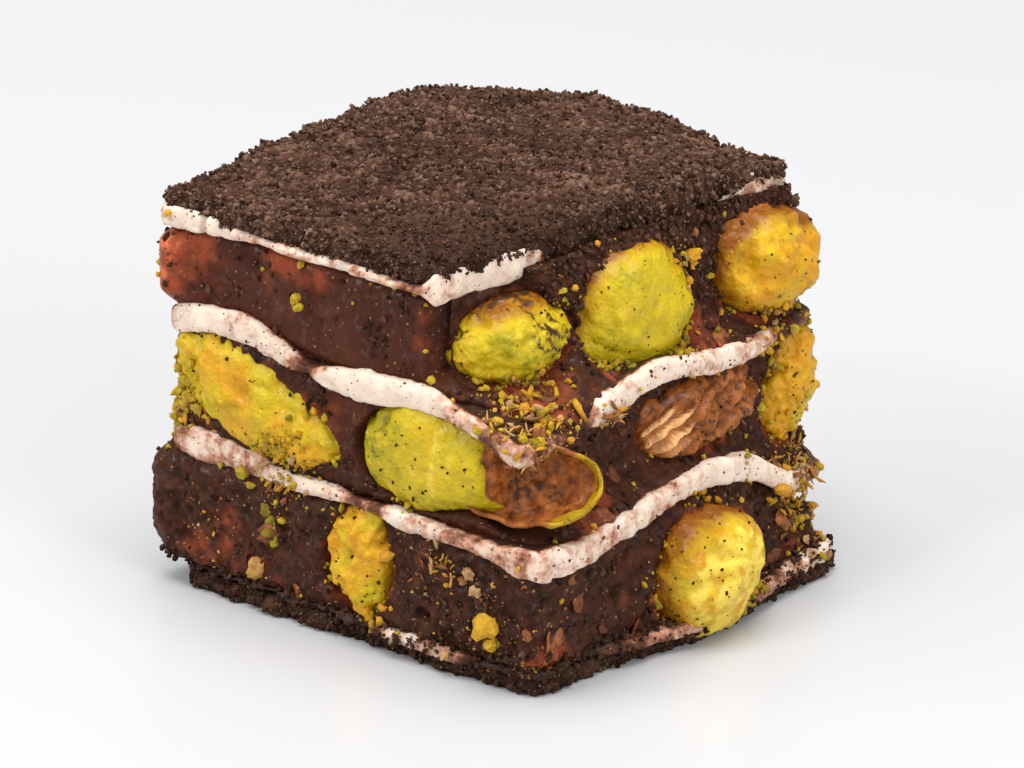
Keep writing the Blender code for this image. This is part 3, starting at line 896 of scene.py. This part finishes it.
def coat_relief(points, seed):
    """(height, tint) of packed crumbs: round grains of two sizes standing out of slow lumps."""
    coarse, coarse_tag = grains(points, 0.44, seed)
    fine, fine_tag = grains(points, 0.25, seed + 10)
    lumps = noise(points, 3.2, seed + 20, 3)
    clots = ease(0.0, 0.6, noise(points, 1.4, seed + 30, 2))
    bump = np.sqrt(np.maximum(0, 0.5 - coarse**2)) * (0.2 + coarse_tag)
    small = np.sqrt(np.maximum(0, 0.5 - fine**2)) * (0.2 + fine_tag)
    height = 0.22 * lumps + 0.26 * clots + 0.26 * bump + 0.13 * small
    along = 0.79 * points[..., 0] + 0.61 * points[..., 1]
    aslant = 0.79 * points[..., 1] - 0.61 * points[..., 0]
    dragged = noise(np.stack([0.2 * along, aslant, 0 * along], axis=-1), 0.8, seed + 40, 2)
    # The tint follows the height as well as each grain's own number: the hollows between crumbs get painted shade and
    # the raised places painted light.
    tint = 0.10 + 0.55 * coarse_tag * bump + 0.55 * fine_tag * small + 0.14 * lumps + 0.9 * (height - 0.12)
    tint = tint + 0.30 * dragged
    height = height + 0.20 * dragged
    return height, np.clip(tint, 0, 1)


def corner_shade(points):
    """How near points lie to the front right corner, from 0 to 1: the crumbs there are darker."""
    return ease(20.0, 8.0, np.hypot(points[..., 0] - 15.0, points[..., 1] + 15.0))


def build_coat_top():
    """The top coat: crumbs in relief over the whole top, crumbling down over the rim of the top sheet.

    It sinks towards the back left corner, and hangs lower over the middle of the right side.
    """
    rim_rows = 10
    profile = flat_rows(3, 0.0, 0.6, 0.95)
    profile += [(0.985, share, 0.25 * sin(pi * share) - 0.05) for share in np.linspace(0.02, 0.98, rim_rows)]
    profile += flat_rows(92, 1.0, 0.985, 0.02)
    grid, ways = layer_grid("coat_top", profile)
    height, tint = coat_relief(grid, 300)
    share = np.array([row[1] for row in profile])[:, None]
    wall = np.array([row[0] == 0.985 and 0 < row[1] < 1 for row in profile])[:, None]
    worn = np.hypot(grid[..., 0] + 15.5, grid[..., 1] - 15.5)
    tint = tint * (1 - 0.55 * corner_shade(grid))
    grid[:, :, 2] += np.where(share > 0.4, height * ease(0.4, 1.0, share), 0) - 0.12
    grid[:, :, 2] -= share * 1.25 * ease(9.0, 0.5, worn)
    grid[:, :, 2] -= share * 0.9 * np.exp(-(((grid[..., 0] - 5.5) / 4.0) ** 2)) * ease(6.0, 14.5, grid[..., 1])
    hang = ease(7.45, 7.75, STATION) * ease(8.75, 8.5, STATION) * (0.7 + 0.5 * noise(grid, 1.3, 340, 2))
    grid[:, :, 2] -= wall * hang * 1.1 * (1 - share)
    ragged = 0.35 * noise(grid, 1.2, 330, 3) + 0.30 * height + 0.55 * hang
    grid = grid + ways * (wall * ragged)[..., None]
    piece = closed_rings("crumb_coat_top", grid, CRUMBS, {"tint": tint * (1 - 0.5 * hang * wall)})
    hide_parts("coat_top")
    return grid


def build_coat_bottom():
    """The bottom coat: a thin ragged bed of crumbs, flat where it rests."""
    rim_rows = 11
    profile = flat_rows(5, 0.0, 0.3, 0.985)
    profile += [(0.985, share, 0.30 * sin(pi * share)) for share in np.linspace(0.02, 0.98, rim_rows)]
    profile += flat_rows(8, 1.0, 0.985, 0.6)
    grid, ways = layer_grid("coat_bottom", profile)
    height, tint = coat_relief(grid, 400)
    wall = np.array([row[0] == 0.985 for row in profile])[:, None]
    ragged = 0.42 * noise(grid, 1.0, 430, 3) + 0.60 * height - 0.40
    ragged = ragged + 0.7 * ease(8.2, 9.0, STATION) * ease(9.8, 9.0, STATION)
    grid = grid + ways * (wall * ragged)[..., None]
    grid[:, :, 2] = np.maximum(grid[:, :, 2], 0.0)
    piece = closed_rings("crumb_coat_bottom", grid, CRUMBS, {"tint": tint * 0.5})
    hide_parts("coat_bottom")
    return grid


# --- Pistachio kernels -------------------------------------------------------------------------------------

# tone runs from 0, green, to 1, orange yellow. grain is how crumbly the cut face is, lumps how broken the
# kernel is, ribs how deep its lengthways wrinkles are, and skin how much of its brown skin is left. up, down and
# out are millimetres by which it swells past the frame's kernel upwards, downwards and sideways.
Look = namedtuple("Look", "tone grain lumps ribs skin up down out")
LOOKS = {
    "kernel_upper_corner": Look(0.42, 0.9, 0.3, 0.1, -0.45, 0.3, 0.3, 0.1),
    "kernel_upper_right": Look(0.25, 0.4, 0.3, 0.6, 0.05, 0.8, 0.4, 0.2),
    "kernel_upper_right_back": Look(0.92, 0.7, 0.8, 0.1, 0.05, 0.3, 0.3, 0.2),
    "kernel_upper_back_right": Look(0.55, 0.6, 0.3, 0.3, 0.20, 0.2, 0.2, 0.1),
    "kernel_upper_back_left": Look(0.20, 0.3, 0.2, 0.5, 0.10, 0.2, 0.2, 0.1),
    "kernel_upper_left_back": Look(0.70, 0.8, 0.6, 0.1, 0.10, 0.2, 0.2, 0.1),
    "kernel_upper_left_front": Look(0.30, 0.4, 0.2, 0.5, 0.25, 0.2, 0.2, 0.1),
    "kernel_middle_front_left": Look(0.68, 1.0, 0.6, 0.1, 0.05, 0.7, 0.6, 0.2),
    "kernel_middle_corner": Look(0.42, 0.7, 0.3, 0.2, 0.05, 0.6, 0.5, 0.2),
    "kernel_middle_right": Look(0.80, 0.2, 0.5, 0.6, 0.95, 0.4, 0.4, 0.3),
    "kernel_middle_right_back": Look(0.95, 0.9, 0.9, 0.1, 0.05, 0.5, 0.3, 0.2),
    "kernel_middle_back_right": Look(0.35, 0.7, 0.3, 0.3, 0.10, 0.2, 0.2, 0.1),
    "kernel_middle_back_left": Look(0.80, 0.8, 0.8, 0.1, 0.05, 0.2, 0.2, 0.1),
    "kernel_middle_left_back": Look(0.25, 0.5, 0.2, 0.4, 0.15, 0.2, 0.2, 0.1),
    "kernel_middle_left_front": Look(0.60, 0.8, 0.6, 0.2, 0.10, 0.2, 0.2, 0.1),
    "kernel_lower_front": Look(0.88, 1.0, 0.8, 0.3, 0.10, 0.3, 0.4, 0.1),
    "kernel_lower_right": Look(0.82, 0.2, 0.3, 0.5, -0.15, 0.4, 0.3, 0.2),
    "kernel_lower_back_right": Look(0.70, 0.5, 0.4, 0.3, 0.15, 0.2, 0.2, 0.1),
    "kernel_lower_back_left": Look(0.25, 0.6, 0.3, 0.3, 0.10, 0.2, 0.2, 0.1),
    "kernel_lower_left_back": Look(0.85, 0.7, 0.7, 0.2, 0.10, 0.2, 0.2, 0.1),
    "kernel_lower_left_front": Look(0.40, 0.3, 0.2, 0.5, 0.25, 0.2, 0.2, 0.1),
}


def build_kernel(node, seed):
    """A kernel: its frame shape, carried on rings from one end to the other, with relief along each direction out.

    Ribs are waves round the long axis. Lumps are slow noise with flat chips cut off it. Grain is small cells that
    stand out of the cut face. The middle corner kernel sinks a millimetre at its torn end, towards +X, under skin.
    """
    look = LOOKS[node]
    form = FORMS[node]
    rows, across = 84, 120
    climb = np.linspace(0.03, pi - 0.03, rows)[:, None]
    turn = (np.arange(across) * 2 * pi / across)[None, :]
    whole = np.ones_like(climb * turn)
    own = np.stack([-np.cos(climb) * whole, np.sin(climb) * np.cos(turn), np.sin(climb) * np.sin(turn)], axis=-1)
    ratio = form_ratio(form, own.reshape(-1, 3)).reshape(rows, across)
    plain = form.middle + (own * form.halves * ratio[..., None]) @ form.axes
    way = (own / form.halves) @ form.axes
    way = way / np.linalg.norm(way, axis=-1, keepdims=True)
    plain = plain + way * look.out
    plain[..., 2] += look.up * ease(-0.2, 0.9, way[..., 2]) - look.down * ease(-0.2, 0.9, -way[..., 2])
    filling = "filling_" + node.split("_")[1]
    narrow = ease(0.3, -0.9, way[..., 2])
    if node == "kernel_lower_right":
        plain[..., 0] -= 1.1 * narrow
        plain[..., 1] += narrow * (0.38 * (form.middle[1] - plain[..., 1]) - 0.4)
        plain[..., 2] = np.maximum(plain[..., 2] - 0.7 * narrow, 0.4)
    if node == "kernel_lower_front":
        plain[..., 0] += narrow * (0.5 * (form.middle[0] - plain[..., 0]) + 0.7)
        plain[..., 2] -= 0.3 * narrow
    if node == "kernel_upper_corner":
        plain[..., 1] = np.maximum(plain[..., 1], -15.3 + 0.1 * (plain[..., 1] + 15.3))
    bare = beyond(filling, plain)
    shown = ease(-0.8, 0.2, bare)
    toward = plain if "corner" in node and "middle" in node or "front_left" in node else form.middle
    facing = (way[..., :2] * side_out(filling, toward)).sum(-1)
    if node == "kernel_upper_corner":
        facing = np.maximum(facing, -0.95 * way[..., 1])
    cut = shown * ease(0.5, 0.85, facing)
    relief = 0.10 * noise(plain, 3.0, seed)
    ribs = np.sin(turn * 7 + 2.5 * noise(plain, 3.5, seed + 1)) * np.sin(climb)
    relief = relief + look.ribs * (0.10 * ribs + 0.16 * (0.5 - np.abs(noise(plain, 1.1, seed + 2, 2))))
    chips = noise(plain, 2.2, seed + 3, 3)
    relief = relief + (0.25 + look.lumps) * (0.55 * chips - 0.45 * ease(0.1, 0.5, noise(plain, 1.7, seed + 4, 2)))
    away, tag = grains(plain, 0.62, seed + 5)
    relief = relief + (0.08 + look.grain) * cut * (0.50 * np.maximum(0, 0.62 - away) * (0.3 + tag) - 0.10)
    relief = relief + (0.06 + 0.12 * look.grain) * noise(plain, 0.55, seed + 6, 3)
    skin = look.skin + 0.30 * noise(plain, 2.2, seed + 7, 2)
    skin = skin + 0.60 * ease(0.42, 0.12, facing) * (0.65 + 0.8 * noise(plain, 2.4, seed + 8, 2))
    streak = noise(plain * (1, 1, 0.3), 0.9, seed + 11, 2)
    if node == "kernel_lower_right":
        spokes = np.arctan2(plain[..., 2] - 5.0, plain[..., 1] - 3.0) + 0.10 * noise(plain, 1.5, seed + 13, 2)
        streak = streak * 0.3 + 0.35 + 0.35 * np.sin(spokes * 11)
        relief = relief + cut * 0.07 * np.sin(spokes * 11)
    if node == "kernel_middle_corner":
        torn_end = ease(9.9, 10.9, plain[..., 0] + 0.45 * noise(plain, 1.3, 811, 2) + 0.15 * (plain[..., 2] - 13.5))
        relief = relief - 1.0 * torn_end * cut
        skin = skin + 1.5 * torn_end
    if node == "kernel_middle_right":
        fan = np.arctan2(plain[..., 2] - 9.6, plain[..., 1] + 5.0) + 0.05 * noise(plain, 1.2, seed + 13, 2)
        folds = np.sin(fan * 52)
        relief = relief + cut * 0.26 * folds
        near = ease(3.2, 0.2, plain[..., 1])
        streak = (0.50 + 0.9 * ease(0.0, 0.9, folds) * (0.7 + noise(plain, 1.8, seed + 14))) * near - 0.3 * (1 - near)
    points = plain + way * relief[..., None]
    tone = look.tone + 0.34 * noise(plain, 2.2, seed + 9, 2) + 0.14 * streak
    # This dark mask is blotches by noise plus painted shade where the kernel lies sunk inside the filling's face; the
    # upper corner kernel gets more of it all over and more towards the back, and the middle right kernel more towards
    # the back.
    grime_and_shade = 0.08 + 0.32 * noise(plain, 1.5, seed + 10, 2) + 0.35 * ease(-0.2, -0.9, bare)
    if node == "kernel_upper_right":
        tone = tone + 0.34 * ease(-9.5, -3.0, plain[..., 1]) - 0.16
    if node == "kernel_upper_corner":
        grime_and_shade = grime_and_shade + 0.12 + 0.42 * ease(-11.4, -9.2, plain[..., 1])
    if node == "kernel_middle_right":
        grime_and_shade = grime_and_shade + 0.45 * ease(0.0, 4.0, plain[..., 1])
    if node == "kernel_lower_right":
        streak = streak + 1.0
    # rim darkens the flesh where the kernel turns away from the cut face: partly its brown outline, partly painted
    # shade at its edges.
    rim = ease(0.85, 0.28, facing) + 0.32 * noise(plain, 1.4, seed + 12, 2)
    marks = {
        "tone": np.clip(tone, 0, 1),
        "skin": np.clip(skin, 0, 1),
        "grime_and_shade": np.clip(grime_and_shade, 0, 1),
        "rim": np.clip(rim, 0, 1),
        "pale": np.clip(0.25 + 0.75 * streak, 0, 1.5) * cut * ease(0.5, 0.8, facing),
    }
    piece = closed_rings("pistachio_" + node, points, KERNEL, marks)
    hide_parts(node)
    return points


def build_bowl():
    """The hollow half of a torn kernel: a thin bowl of skin with a green rim, open towards the front right.

    Rings run from the outer pole over the rim to the inner pole. Each ring is an ellipse whose size is the sine
    of an angle and whose depth is its cosine. The inner rings are smaller by the bowl's thickness.
    """
    rows, across = 44, 132
    thick = 0.28
    climb = np.concatenate([np.linspace(0.04, pi / 2, rows), np.linspace(pi / 2, 0.04, rows)])[:, None]
    inner = np.concatenate([np.zeros(rows), np.ones(rows)])[:, None]
    turn = (np.arange(across) * 2 * pi / across)[None, :]
    long, high, deep = (half - thick * inner for half in BOWL_HALVES)
    up = np.cross(BOWL_OUT, BOWL_LONG)
    along = (np.cos(turn) * np.sin(climb) * long)[..., None] * BOWL_LONG
    rise = (np.sin(turn) * np.sin(climb) * high)[..., None] * up
    back = (np.cos(climb) * deep * np.ones_like(turn))[..., None] * BOWL_OUT
    grid = BOWL_MIDDLE + along + rise - back
    rim = np.sin(climb) * np.ones_like(turn)
    lift = 0.35 * noise(grid, 1.8, 801, 3) + 0.20 * noise(grid, 0.6, 802, 2)
    lift = lift + 0.9 * rim**6 * noise(grid, 1.7, 803, 2) - 2.0 * ease(0.1, -0.75, np.cos(turn)) * rim**2
    spread = 0.35 * rim**4 * noise(grid, 1.3, 806, 2)
    grid = grid + BOWL_OUT * lift[..., None] + up * (spread * np.sign(np.sin(turn)))[..., None]
    green = ease(0.93, 0.985, rim + 0.04 * noise(grid, 0.8, 807)) * ease(0.15, 0.75, np.cos(turn) - 0.25 * np.sin(turn))
    tone = 0.20 + 0.3 * noise(grid, 1.2, 804)
    skin = 1.3 * (1 - green)
    folds = noise(np.stack([3.2 * turn + 0 * rim, 1.5 * rim, 0 * rim], axis=-1), 1.0, 808, 3)
    # The bowl darkens towards its middle, painted shade in its hollow, over dark blotches, and lightens along the folds
    # of its skin.
    grime_and_shade = 0.32 + 0.4 * np.clip(noise(grid, 1.1, 805, 2), 0, 1) + 0.35 * ease(0.6, 0.15, rim) - 0.2 * folds
    marks = {"tone": tone, "skin": skin, "grime_and_shade": grime_and_shade, "rim": 0.50 + 0 * rim, "pale": np.clip(0.9 * folds, 0, 1)}
    closed_rings("pistachio_skin_bowl", grid, KERNEL, marks)
    return grid


# --- Small lumps -------------------------------------------------------------------------------------------


def lump_shape(subdivided):
    """(points, faces) of an icosahedron, or of one with each face cut in four."""
    mesh = bpy.data.meshes.new("lump")
    shape = bmesh.new()
    bmesh.ops.create_icosphere(shape, subdivisions=2 if subdivided else 1, radius=1.0)
    shape.to_mesh(mesh)
    shape.free()
    points = np.array([vertex.co for vertex in mesh.vertices])
    faces = np.array([face.vertices for face in mesh.polygons])
    bpy.data.meshes.remove(mesh)
    return points, faces


def random_turns(dice, count):
    """Random rotation matrices, from random unit quaternions."""
    w, x, y, z = (lambda q: q / np.linalg.norm(q, axis=0))(dice.normal(size=(4, count)))
    rows = [
        [1 - 2 * (y * y + z * z), 2 * (x * y - z * w), 2 * (x * z + y * w)],
        [2 * (x * y + z * w), 1 - 2 * (x * x + z * z), 2 * (y * z - x * w)],
        [2 * (x * z - y * w), 2 * (y * z + x * w), 1 - 2 * (x * x + y * y)],
    ]
    return np.moveaxis(np.array(rows), -1, 0)


def lumps(name, places, sizes, stretch, tints, material, slot, seed, subdivided=False, bend=0.0, rough=0.35, ways=None, smooth=False):
    """One joined piece of many small lumps.

    Each is an icosahedron whose corners go in and out by a random share, stretched along its axes, bent by
    lifting it with the square of its length, turned at random or to its own way, and set in its place.
    """
    dice = np.random.default_rng(seed)
    shape, faces = lump_shape(subdivided)
    count = len(places)
    body = shape[None] * (1 + rough * (dice.random((count, len(shape), 1)) - 0.5) * 2)
    body = body * (np.array(stretch) * (1 + 0.35 * (dice.random((count, 1, 3)) - 0.5)))
    body[..., 2] += bend * (body[..., 0] ** 2 - 0.4)
    turns = random_turns(dice, count)
    if ways is not None:
        side = np.cross(ways, dice.normal(size=ways.shape))
        side = side / np.linalg.norm(side, axis=-1, keepdims=True)
        turns = np.stack([side, np.cross(ways, side), ways], axis=-1)
    body = np.einsum("nij,nkj->nki", turns, body) * sizes[:, None, None] + places[:, None, :]
    body[..., 2] = np.maximum(body[..., 2], 0.0)
    index = faces[None] + (np.arange(count) * len(shape))[:, None, None]
    tint = np.repeat(tints, len(shape))
    return piece_from(name, body.reshape(-1, 3), index.reshape(-1, 3).tolist(), material, {"tint": tint}, smooth=smooth)


def pick(dice, grids, count, worth):
    """(places, normals) of points drawn from grids, with a chance in proportion to area and to their worth."""
    points = np.concatenate([grid.reshape(-1, 3) for grid in grids])
    normals = np.concatenate([grid_normals(grid).reshape(-1, 3) for grid in grids])
    area = np.concatenate([grid_area(grid).ravel() for grid in grids])
    chance = np.clip(worth(points, normals), 0, None) * area
    chosen = dice.choice(len(points), size=count, p=chance / chance.sum())
    return points[chosen], normals[chosen]


def grid_area(grid):
    """The area that each point of a grid of rings stands for."""
    around = np.roll(grid, -1, axis=1) - grid
    between = np.gradient(grid, axis=0)
    return np.linalg.norm(np.cross(around, between), axis=-1)


def drawn_sizes(dice, count, low, high, power=2.5):
    """Sizes between low and high, with many more small ones than large ones."""
    return low + (high - low) * dice.random(count) ** power


def build_small_things(sheets, fillings, kernels, coat_top, coat_bottom):
    """Cocoa crumbs on the coats and on the cut faces, chopped nut, and flakes of kernel skin."""
    dice = np.random.default_rng(11)
    walls = [grid[4:-4] for grid in fillings.values()]
    rims = [grid[12:-12] for grid in sheets.values()]
    nuts = list(kernels.values())

    # cocoa crumbs over the top coat, thickest along its rim
    places, normals = pick(dice, [coat_top[4:]], 9800, lambda p, n: 0.5 + 1.2 * ease(-1.6, 0.0, beyond("coat_top", p)))
    sizes = drawn_sizes(dice, len(places), 0.05, 0.23, 2.4)
    tints = dice.random(len(places)) * (1 - 0.55 * corner_shade(places))
    lumps("crumbs_on_top", places + normals * sizes[:, None] * 0.5, sizes, (1, 0.8, 0.7), tints, CRUMBS, "crumb_coat", 21)

    # cocoa crumbs along the base
    places, normals = pick(dice, [coat_bottom[5:-8]], 1900, lambda p, n: 1.0 + 0 * p[:, 0])
    low_walls = [sheets["sheet_base"][10:-10], fillings["filling_lower"][4:26]]
    sunk = lambda p, n: ease(3.0, 1.6, p[:, 2] + 0.8 * noise(p, 1.6, 507, 2)) * ease(-1.3, -0.5, beyond("sheet_base", p))
    above, above_out = pick(dice, low_walls, 2600, sunk)
    places, normals = np.concatenate([places, above]), np.concatenate([normals, above_out])
    sizes = drawn_sizes(dice, len(places), 0.06, 0.30)
    places = places + normals * sizes[:, None] * 0.5
    places[:, 2] = np.maximum(places[:, 2], sizes * 0.9)
    lumps("crumbs_at_base", places, sizes, (1, 0.8, 0.7), 0.5 * dice.random(len(places)), CRUMBS, "crumb_coat", 22)

    # cocoa crumbs that cling to the paste and the nougat, thickest near the top of the right side
    def clinging(p, n):
        patchy = ease(-0.1, 0.6, noise(p, 2.4, 501, 2))
        upper_right = ease(7, 9, p[:, 0]) * ease(17.5, 22, p[:, 2]) * ease(-13, -8, p[:, 1])
        return (0.08 + patchy + 2.2 * upper_right) * ease(-1.6, -0.3, beyond("filling_upper", p) + 0.2)

    places, normals = pick(dice, walls, 6000, clinging)
    dusted, dusted_out = pick(dice, rims, 900, clinging)
    places, normals = np.concatenate([places, dusted]), np.concatenate([normals, dusted_out])
    sizes = drawn_sizes(dice, len(places), 0.06, 0.30, 2.6)
    sizes[-len(dusted):] *= 0.5
    tints = 0.6 * dice.random(len(places))
    lumps("crumbs_on_sides", places + normals * sizes[:, None] * 0.4, sizes, (1, 0.8, 0.6), tints, CRUMBS, "crumb_coat", 23)

    # a few cocoa crumbs on the kernels
    places, normals = pick(dice, nuts, 900, lambda p, n: ease(-0.6, 0.4, noise(p, 1.6, 505)) * ease(-1.0, 0.0, beyond("filling_upper", p)))
    sizes = drawn_sizes(dice, len(places), 0.05, 0.17, 2.6)
    lumps("crumbs_on_kernels", places + normals * sizes[:, None] * 0.3, sizes, (1, 0.8, 0.6), 0.4 * dice.random(len(places)), CRUMBS, "crumb_coat", 26)

    # chopped nut beside the kernels, and most of it on the ledges under them
    forms = list(FORMS.values())

    def beside(p, n):
        gap = np.min([outside_kernel(form, p) for form in forms], axis=0)
        patchy = ease(-0.1, 0.6, noise(p, 2.6, 511, 2))
        lying = 0.35 + 1.6 * ease(0.2, 0.7, n[:, 2])
        return (np.exp(-((gap / 0.8) ** 2)) * patchy * lying + 0.02 * patchy) * ease(-1.5, -0.3, beyond("filling_upper", p))

    places, normals = pick(dice, walls + rims, 5200, beside)
    sizes = drawn_sizes(dice, len(places), 0.045, 0.36, 3.6)
    tints = np.clip(0.36 + 0.24 * dice.normal(size=len(places)), 0, 1)
    lumps("nut_crumbs", places + normals * sizes[:, None] * 0.35, sizes, (1, 0.85, 0.7), tints, BITS, "pistachio", 24)

    # heaps of chopped nut where the cube was torn, as (x, y, z, spread, how many, largest, tint)
    heaps = (
        (11.6, -12.6, 17.6, 2.0, 210, 0.50, 0.60),
        (9.5, -9.5, 17.6, 1.6, 60, 0.40, 0.35),
        (-14.8, -16.0, 12.6, 1.5, 130, 0.50, 0.42),
        (-5.2, -15.9, 11.4, 1.6, 90, 0.42, 0.42),
        (12.6, 11.0, 17.0, 1.9, 90, 0.45, 0.45),
        (13.6, 13.0, 4.5, 2.2, 80, 0.50, 0.55),
        (12.8, 12.5, 11.0, 2.6, 70, 0.40, 0.50),
        (10.5, 4.6, 22.8, 1.0, 30, 0.42, 0.60),
        (-5.5, -15.8, 8.4, 1.2, 30, 0.40, 0.60),
        (7.5, -15.6, 5.5, 3.4, 120, 0.24, 0.96),
        (12.5, -14.5, 4.5, 3.6, 150, 0.24, 0.98),
        (-10.5, -15.6, 5.0, 3.4, 60, 0.22, 0.94),
        (-1.5, -15.6, 3.5, 2.5, 40, 0.22, 0.94),
    )
    heaped, outs, largest, tones = [], [], [], []
    for x, y, z, spread, count, size, tone in heaps:
        near = lambda p, n: np.exp(-(((p - (x, y, z)) ** 2).sum(-1)) / spread**2) + 1e-12
        count = int((1.0 if tone > 0.9 else 2.6) * count)
        found, facings = pick(dice, walls + rims + nuts, count, near)
        heaped.append(found)
        outs.append(facings)
        largest.append(drawn_sizes(dice, count, 0.06, 0.85 * size, 2.6))
        tones.append(np.clip(tone + 0.24 * dice.normal(size=count), 0, 1))
    places, normals, sizes, tints = (np.concatenate(part) for part in (heaped, outs, largest, tones))
    lumps("nut_heaps", places + normals * sizes[:, None] * 0.45, sizes, (1, 0.8, 0.65), tints, BITS, "pistachio", 27)

    # single bits set in the faces, as (x, y, z, size, tint)
    single = np.array([
        (-4.5, -15.8, 21.7, 0.40, 0.25), (-4.3, -15.8, 21.2, 0.32, 0.30), (-7.5, -15.7, 2.9, 0.85, 0.74),
        (-6.8, -15.6, 7.0, 0.55, 0.02), (-6.4, -15.6, 6.3, 0.50, 0.10), (-6.6, -15.6, 5.6, 0.55, 0.06), (-6.1, -15.6, 5.0, 0.40, 0.15),
        (11.3, -15.6, 4.2, 0.95, 0.52), (11.7, -15.6, 3.2, 0.60, 0.48),
        (9.7, -15.4, 7.2, 0.60, 0.86), (10.3, -15.4, 6.3, 0.45, 0.82), (9.2, -15.4, 6.6, 0.40, 0.92), (8.3, -15.9, 1.5, 0.35, 0.76),
        (14.4, -12.0, 7.2, 0.75, 0.97), (14.3, -11.2, 6.8, 0.60, 0.93), (-8.8, -15.7, 9.0, 0.60, 0.20), (10.3, 4.9, 23.0, 0.60, 0.62),
        (-12.6, -15.7, 6.9, 0.45, 0.10), (3.2, -15.6, 6.6, 0.45, 0.70), (14.6, 9.6, 7.0, 0.55, 0.60),
    ])
    lumps("nut_bits", single[:, :3], single[:, 3], (1, 0.8, 0.7), single[:, 4], BITS, "pistachio", 28, subdivided=True, rough=0.30)

    # thin shreds that stick out where the cube was torn, as (x, y, z, spread, how many)
    torn_places = (
        (12.0, -12.8, 17.2, 1.9, 200), (9.5, -9.8, 17.8, 1.2, 30), (14.4, -6.6, 15.0, 1.0, 36), (14.2, 12.4, 8.6, 1.7, 70),
        (14.4, 13.0, 4.4, 1.5, 40), (-15.0, -15.8, 12.6, 1.3, 40), (7.6, -15.8, 7.4, 0.8, 26), (-6.0, -15.9, 9.4, 1.0, 22),
    )
    strands, outs = [], []
    for x, y, z, spread, count in torn_places:
        near = lambda p, n: np.exp(-(((p - (x, y, z)) ** 2).sum(-1)) / spread**2) + 1e-12
        found, facings = pick(dice, walls + rims, count, near)
        strands.append(found)
        outs.append(facings)
    strands, outs = np.concatenate(strands), np.concatenate(outs)
    sizes = drawn_sizes(dice, len(strands), 0.22, 0.85, 2.2)
    tints = np.clip(0.75 + 0.20 * dice.normal(size=len(strands)), 0.1, 1)
    places = strands + outs * sizes[:, None] * 0.30
    lumps("torn_shreds", places, sizes, (1, 0.26, 0.10), tints, BITS, "pistachio", 29, bend=0.35, smooth=True)

    # flakes of skin, lying on the cut faces
    places, normals = pick(dice, walls, 70, lambda p, n: ease(0.0, 0.6, noise(p, 4.0, 521, 2)) + 0.05)
    sizes = drawn_sizes(dice, len(places), 0.35, 1.15, 1.6)
    lumps("flakes_of_skin", places + normals * 0.06, sizes, (1, 0.7, 0.09), dice.random(len(places)), FLAKES, "pistachio", 25, subdivided=True, bend=0.25, ways=normals, smooth=True)


# --- Building it -------------------------------------------------------------------------------------------


def build_object():
    sheets = build_sheets()
    fillings = {name: build_filling(name, 100 + 40 * order) for order, name in enumerate(BETWEEN)}
    coat_top = build_coat_top()
    coat_bottom = build_coat_bottom()
    kernels = {node: build_kernel(node, 600 + 20 * order) for order, node in enumerate(KERNEL_NODES)}
    build_bowl()
    build_small_things(sheets, fillings, kernels, coat_top, coat_bottom)


# --- Floor, light and camera -------------------------------------------------------------------------------


def build_stage():
    """A pale floor that reaches far past the piece, and a pale room that gives soft light."""
    material, tree, shader, place = new_material("studio_floor", 0.35, 0.3)
    shader.inputs["Base Color"].default_value = colour(0.505, 0.505, 0.513)
    mesh = bpy.data.meshes.new("studio_floor")
    wide = 3.0
    mesh.from_pydata([(-wide, -wide, 0), (wide, -wide, 0), (wide, wide, 0), (-wide, wide, 0)], [], [(0, 1, 2, 3)])
    mesh.materials.append(material)
    floor = bpy.data.objects.new("studio_floor", mesh)
    bpy.context.scene.collection.objects.link(floor)
    world = bpy.data.worlds.new("pale_room")
    world.use_nodes = True
    world.node_tree.nodes["Background"].inputs["Color"].default_value = colour(1.0, 1.0, 1.0)
    world.node_tree.nodes["Background"].inputs["Strength"].default_value = 0.55
    bpy.context.scene.world = world


def add_panel(name, place, target, size, power):
    """A square light panel that faces a target."""
    light = bpy.data.lights.new(name, "AREA")
    light.size = size
    light.energy = power
    panel = bpy.data.objects.new(name, light)
    panel.location = place
    panel.rotation_euler = (Vector(target) - Vector(place)).to_track_quat("-Z", "Y").to_euler()
    bpy.context.scene.collection.objects.link(panel)


def add_camera(azimuth, elevation, distance, lens, roll, target):
    """A camera at an angle round a target, rolled a little about its own axis."""
    data = bpy.data.cameras.new("camera")
    data.lens = lens
    data.clip_start = 0.01
    camera = bpy.data.objects.new("camera", data)
    turn, rise = radians(azimuth), radians(elevation)
    back = Vector((sin(turn) * cos(rise), -cos(turn) * cos(rise), sin(rise)))
    camera.location = Vector(target) + back * distance
    camera.rotation_mode = "QUATERNION"
    camera.rotation_quaternion = back.to_track_quat("Z", "Y") @ Quaternion((0, 0, 1), radians(roll))
    bpy.context.scene.collection.objects.link(camera)
    bpy.context.scene.camera = camera


build_object()
build_stage()
add_panel("top_panel", (-0.01, -0.05, 0.75), (0, 0, 0.012), 0.60, 7.0)
add_panel("left_panel", (-0.40, -0.50, 0.35), (0, 0, 0.012), 0.40, 1.7)
add_panel("small_panel", (-0.10, -0.55, 0.45), (0, 0, 0.012), 0.08, 0.9)
add_panel("right_panel", (0.60, -0.10, 0.30), (0, 0, 0.012), 0.30, 2.0)
add_camera(39.5, 20.4, 0.4975, 276, 1.5, (0, 0, 0.013))
bpy.context.scene.view_settings.view_transform = "Standard"
bpy.context.view_layer.update()
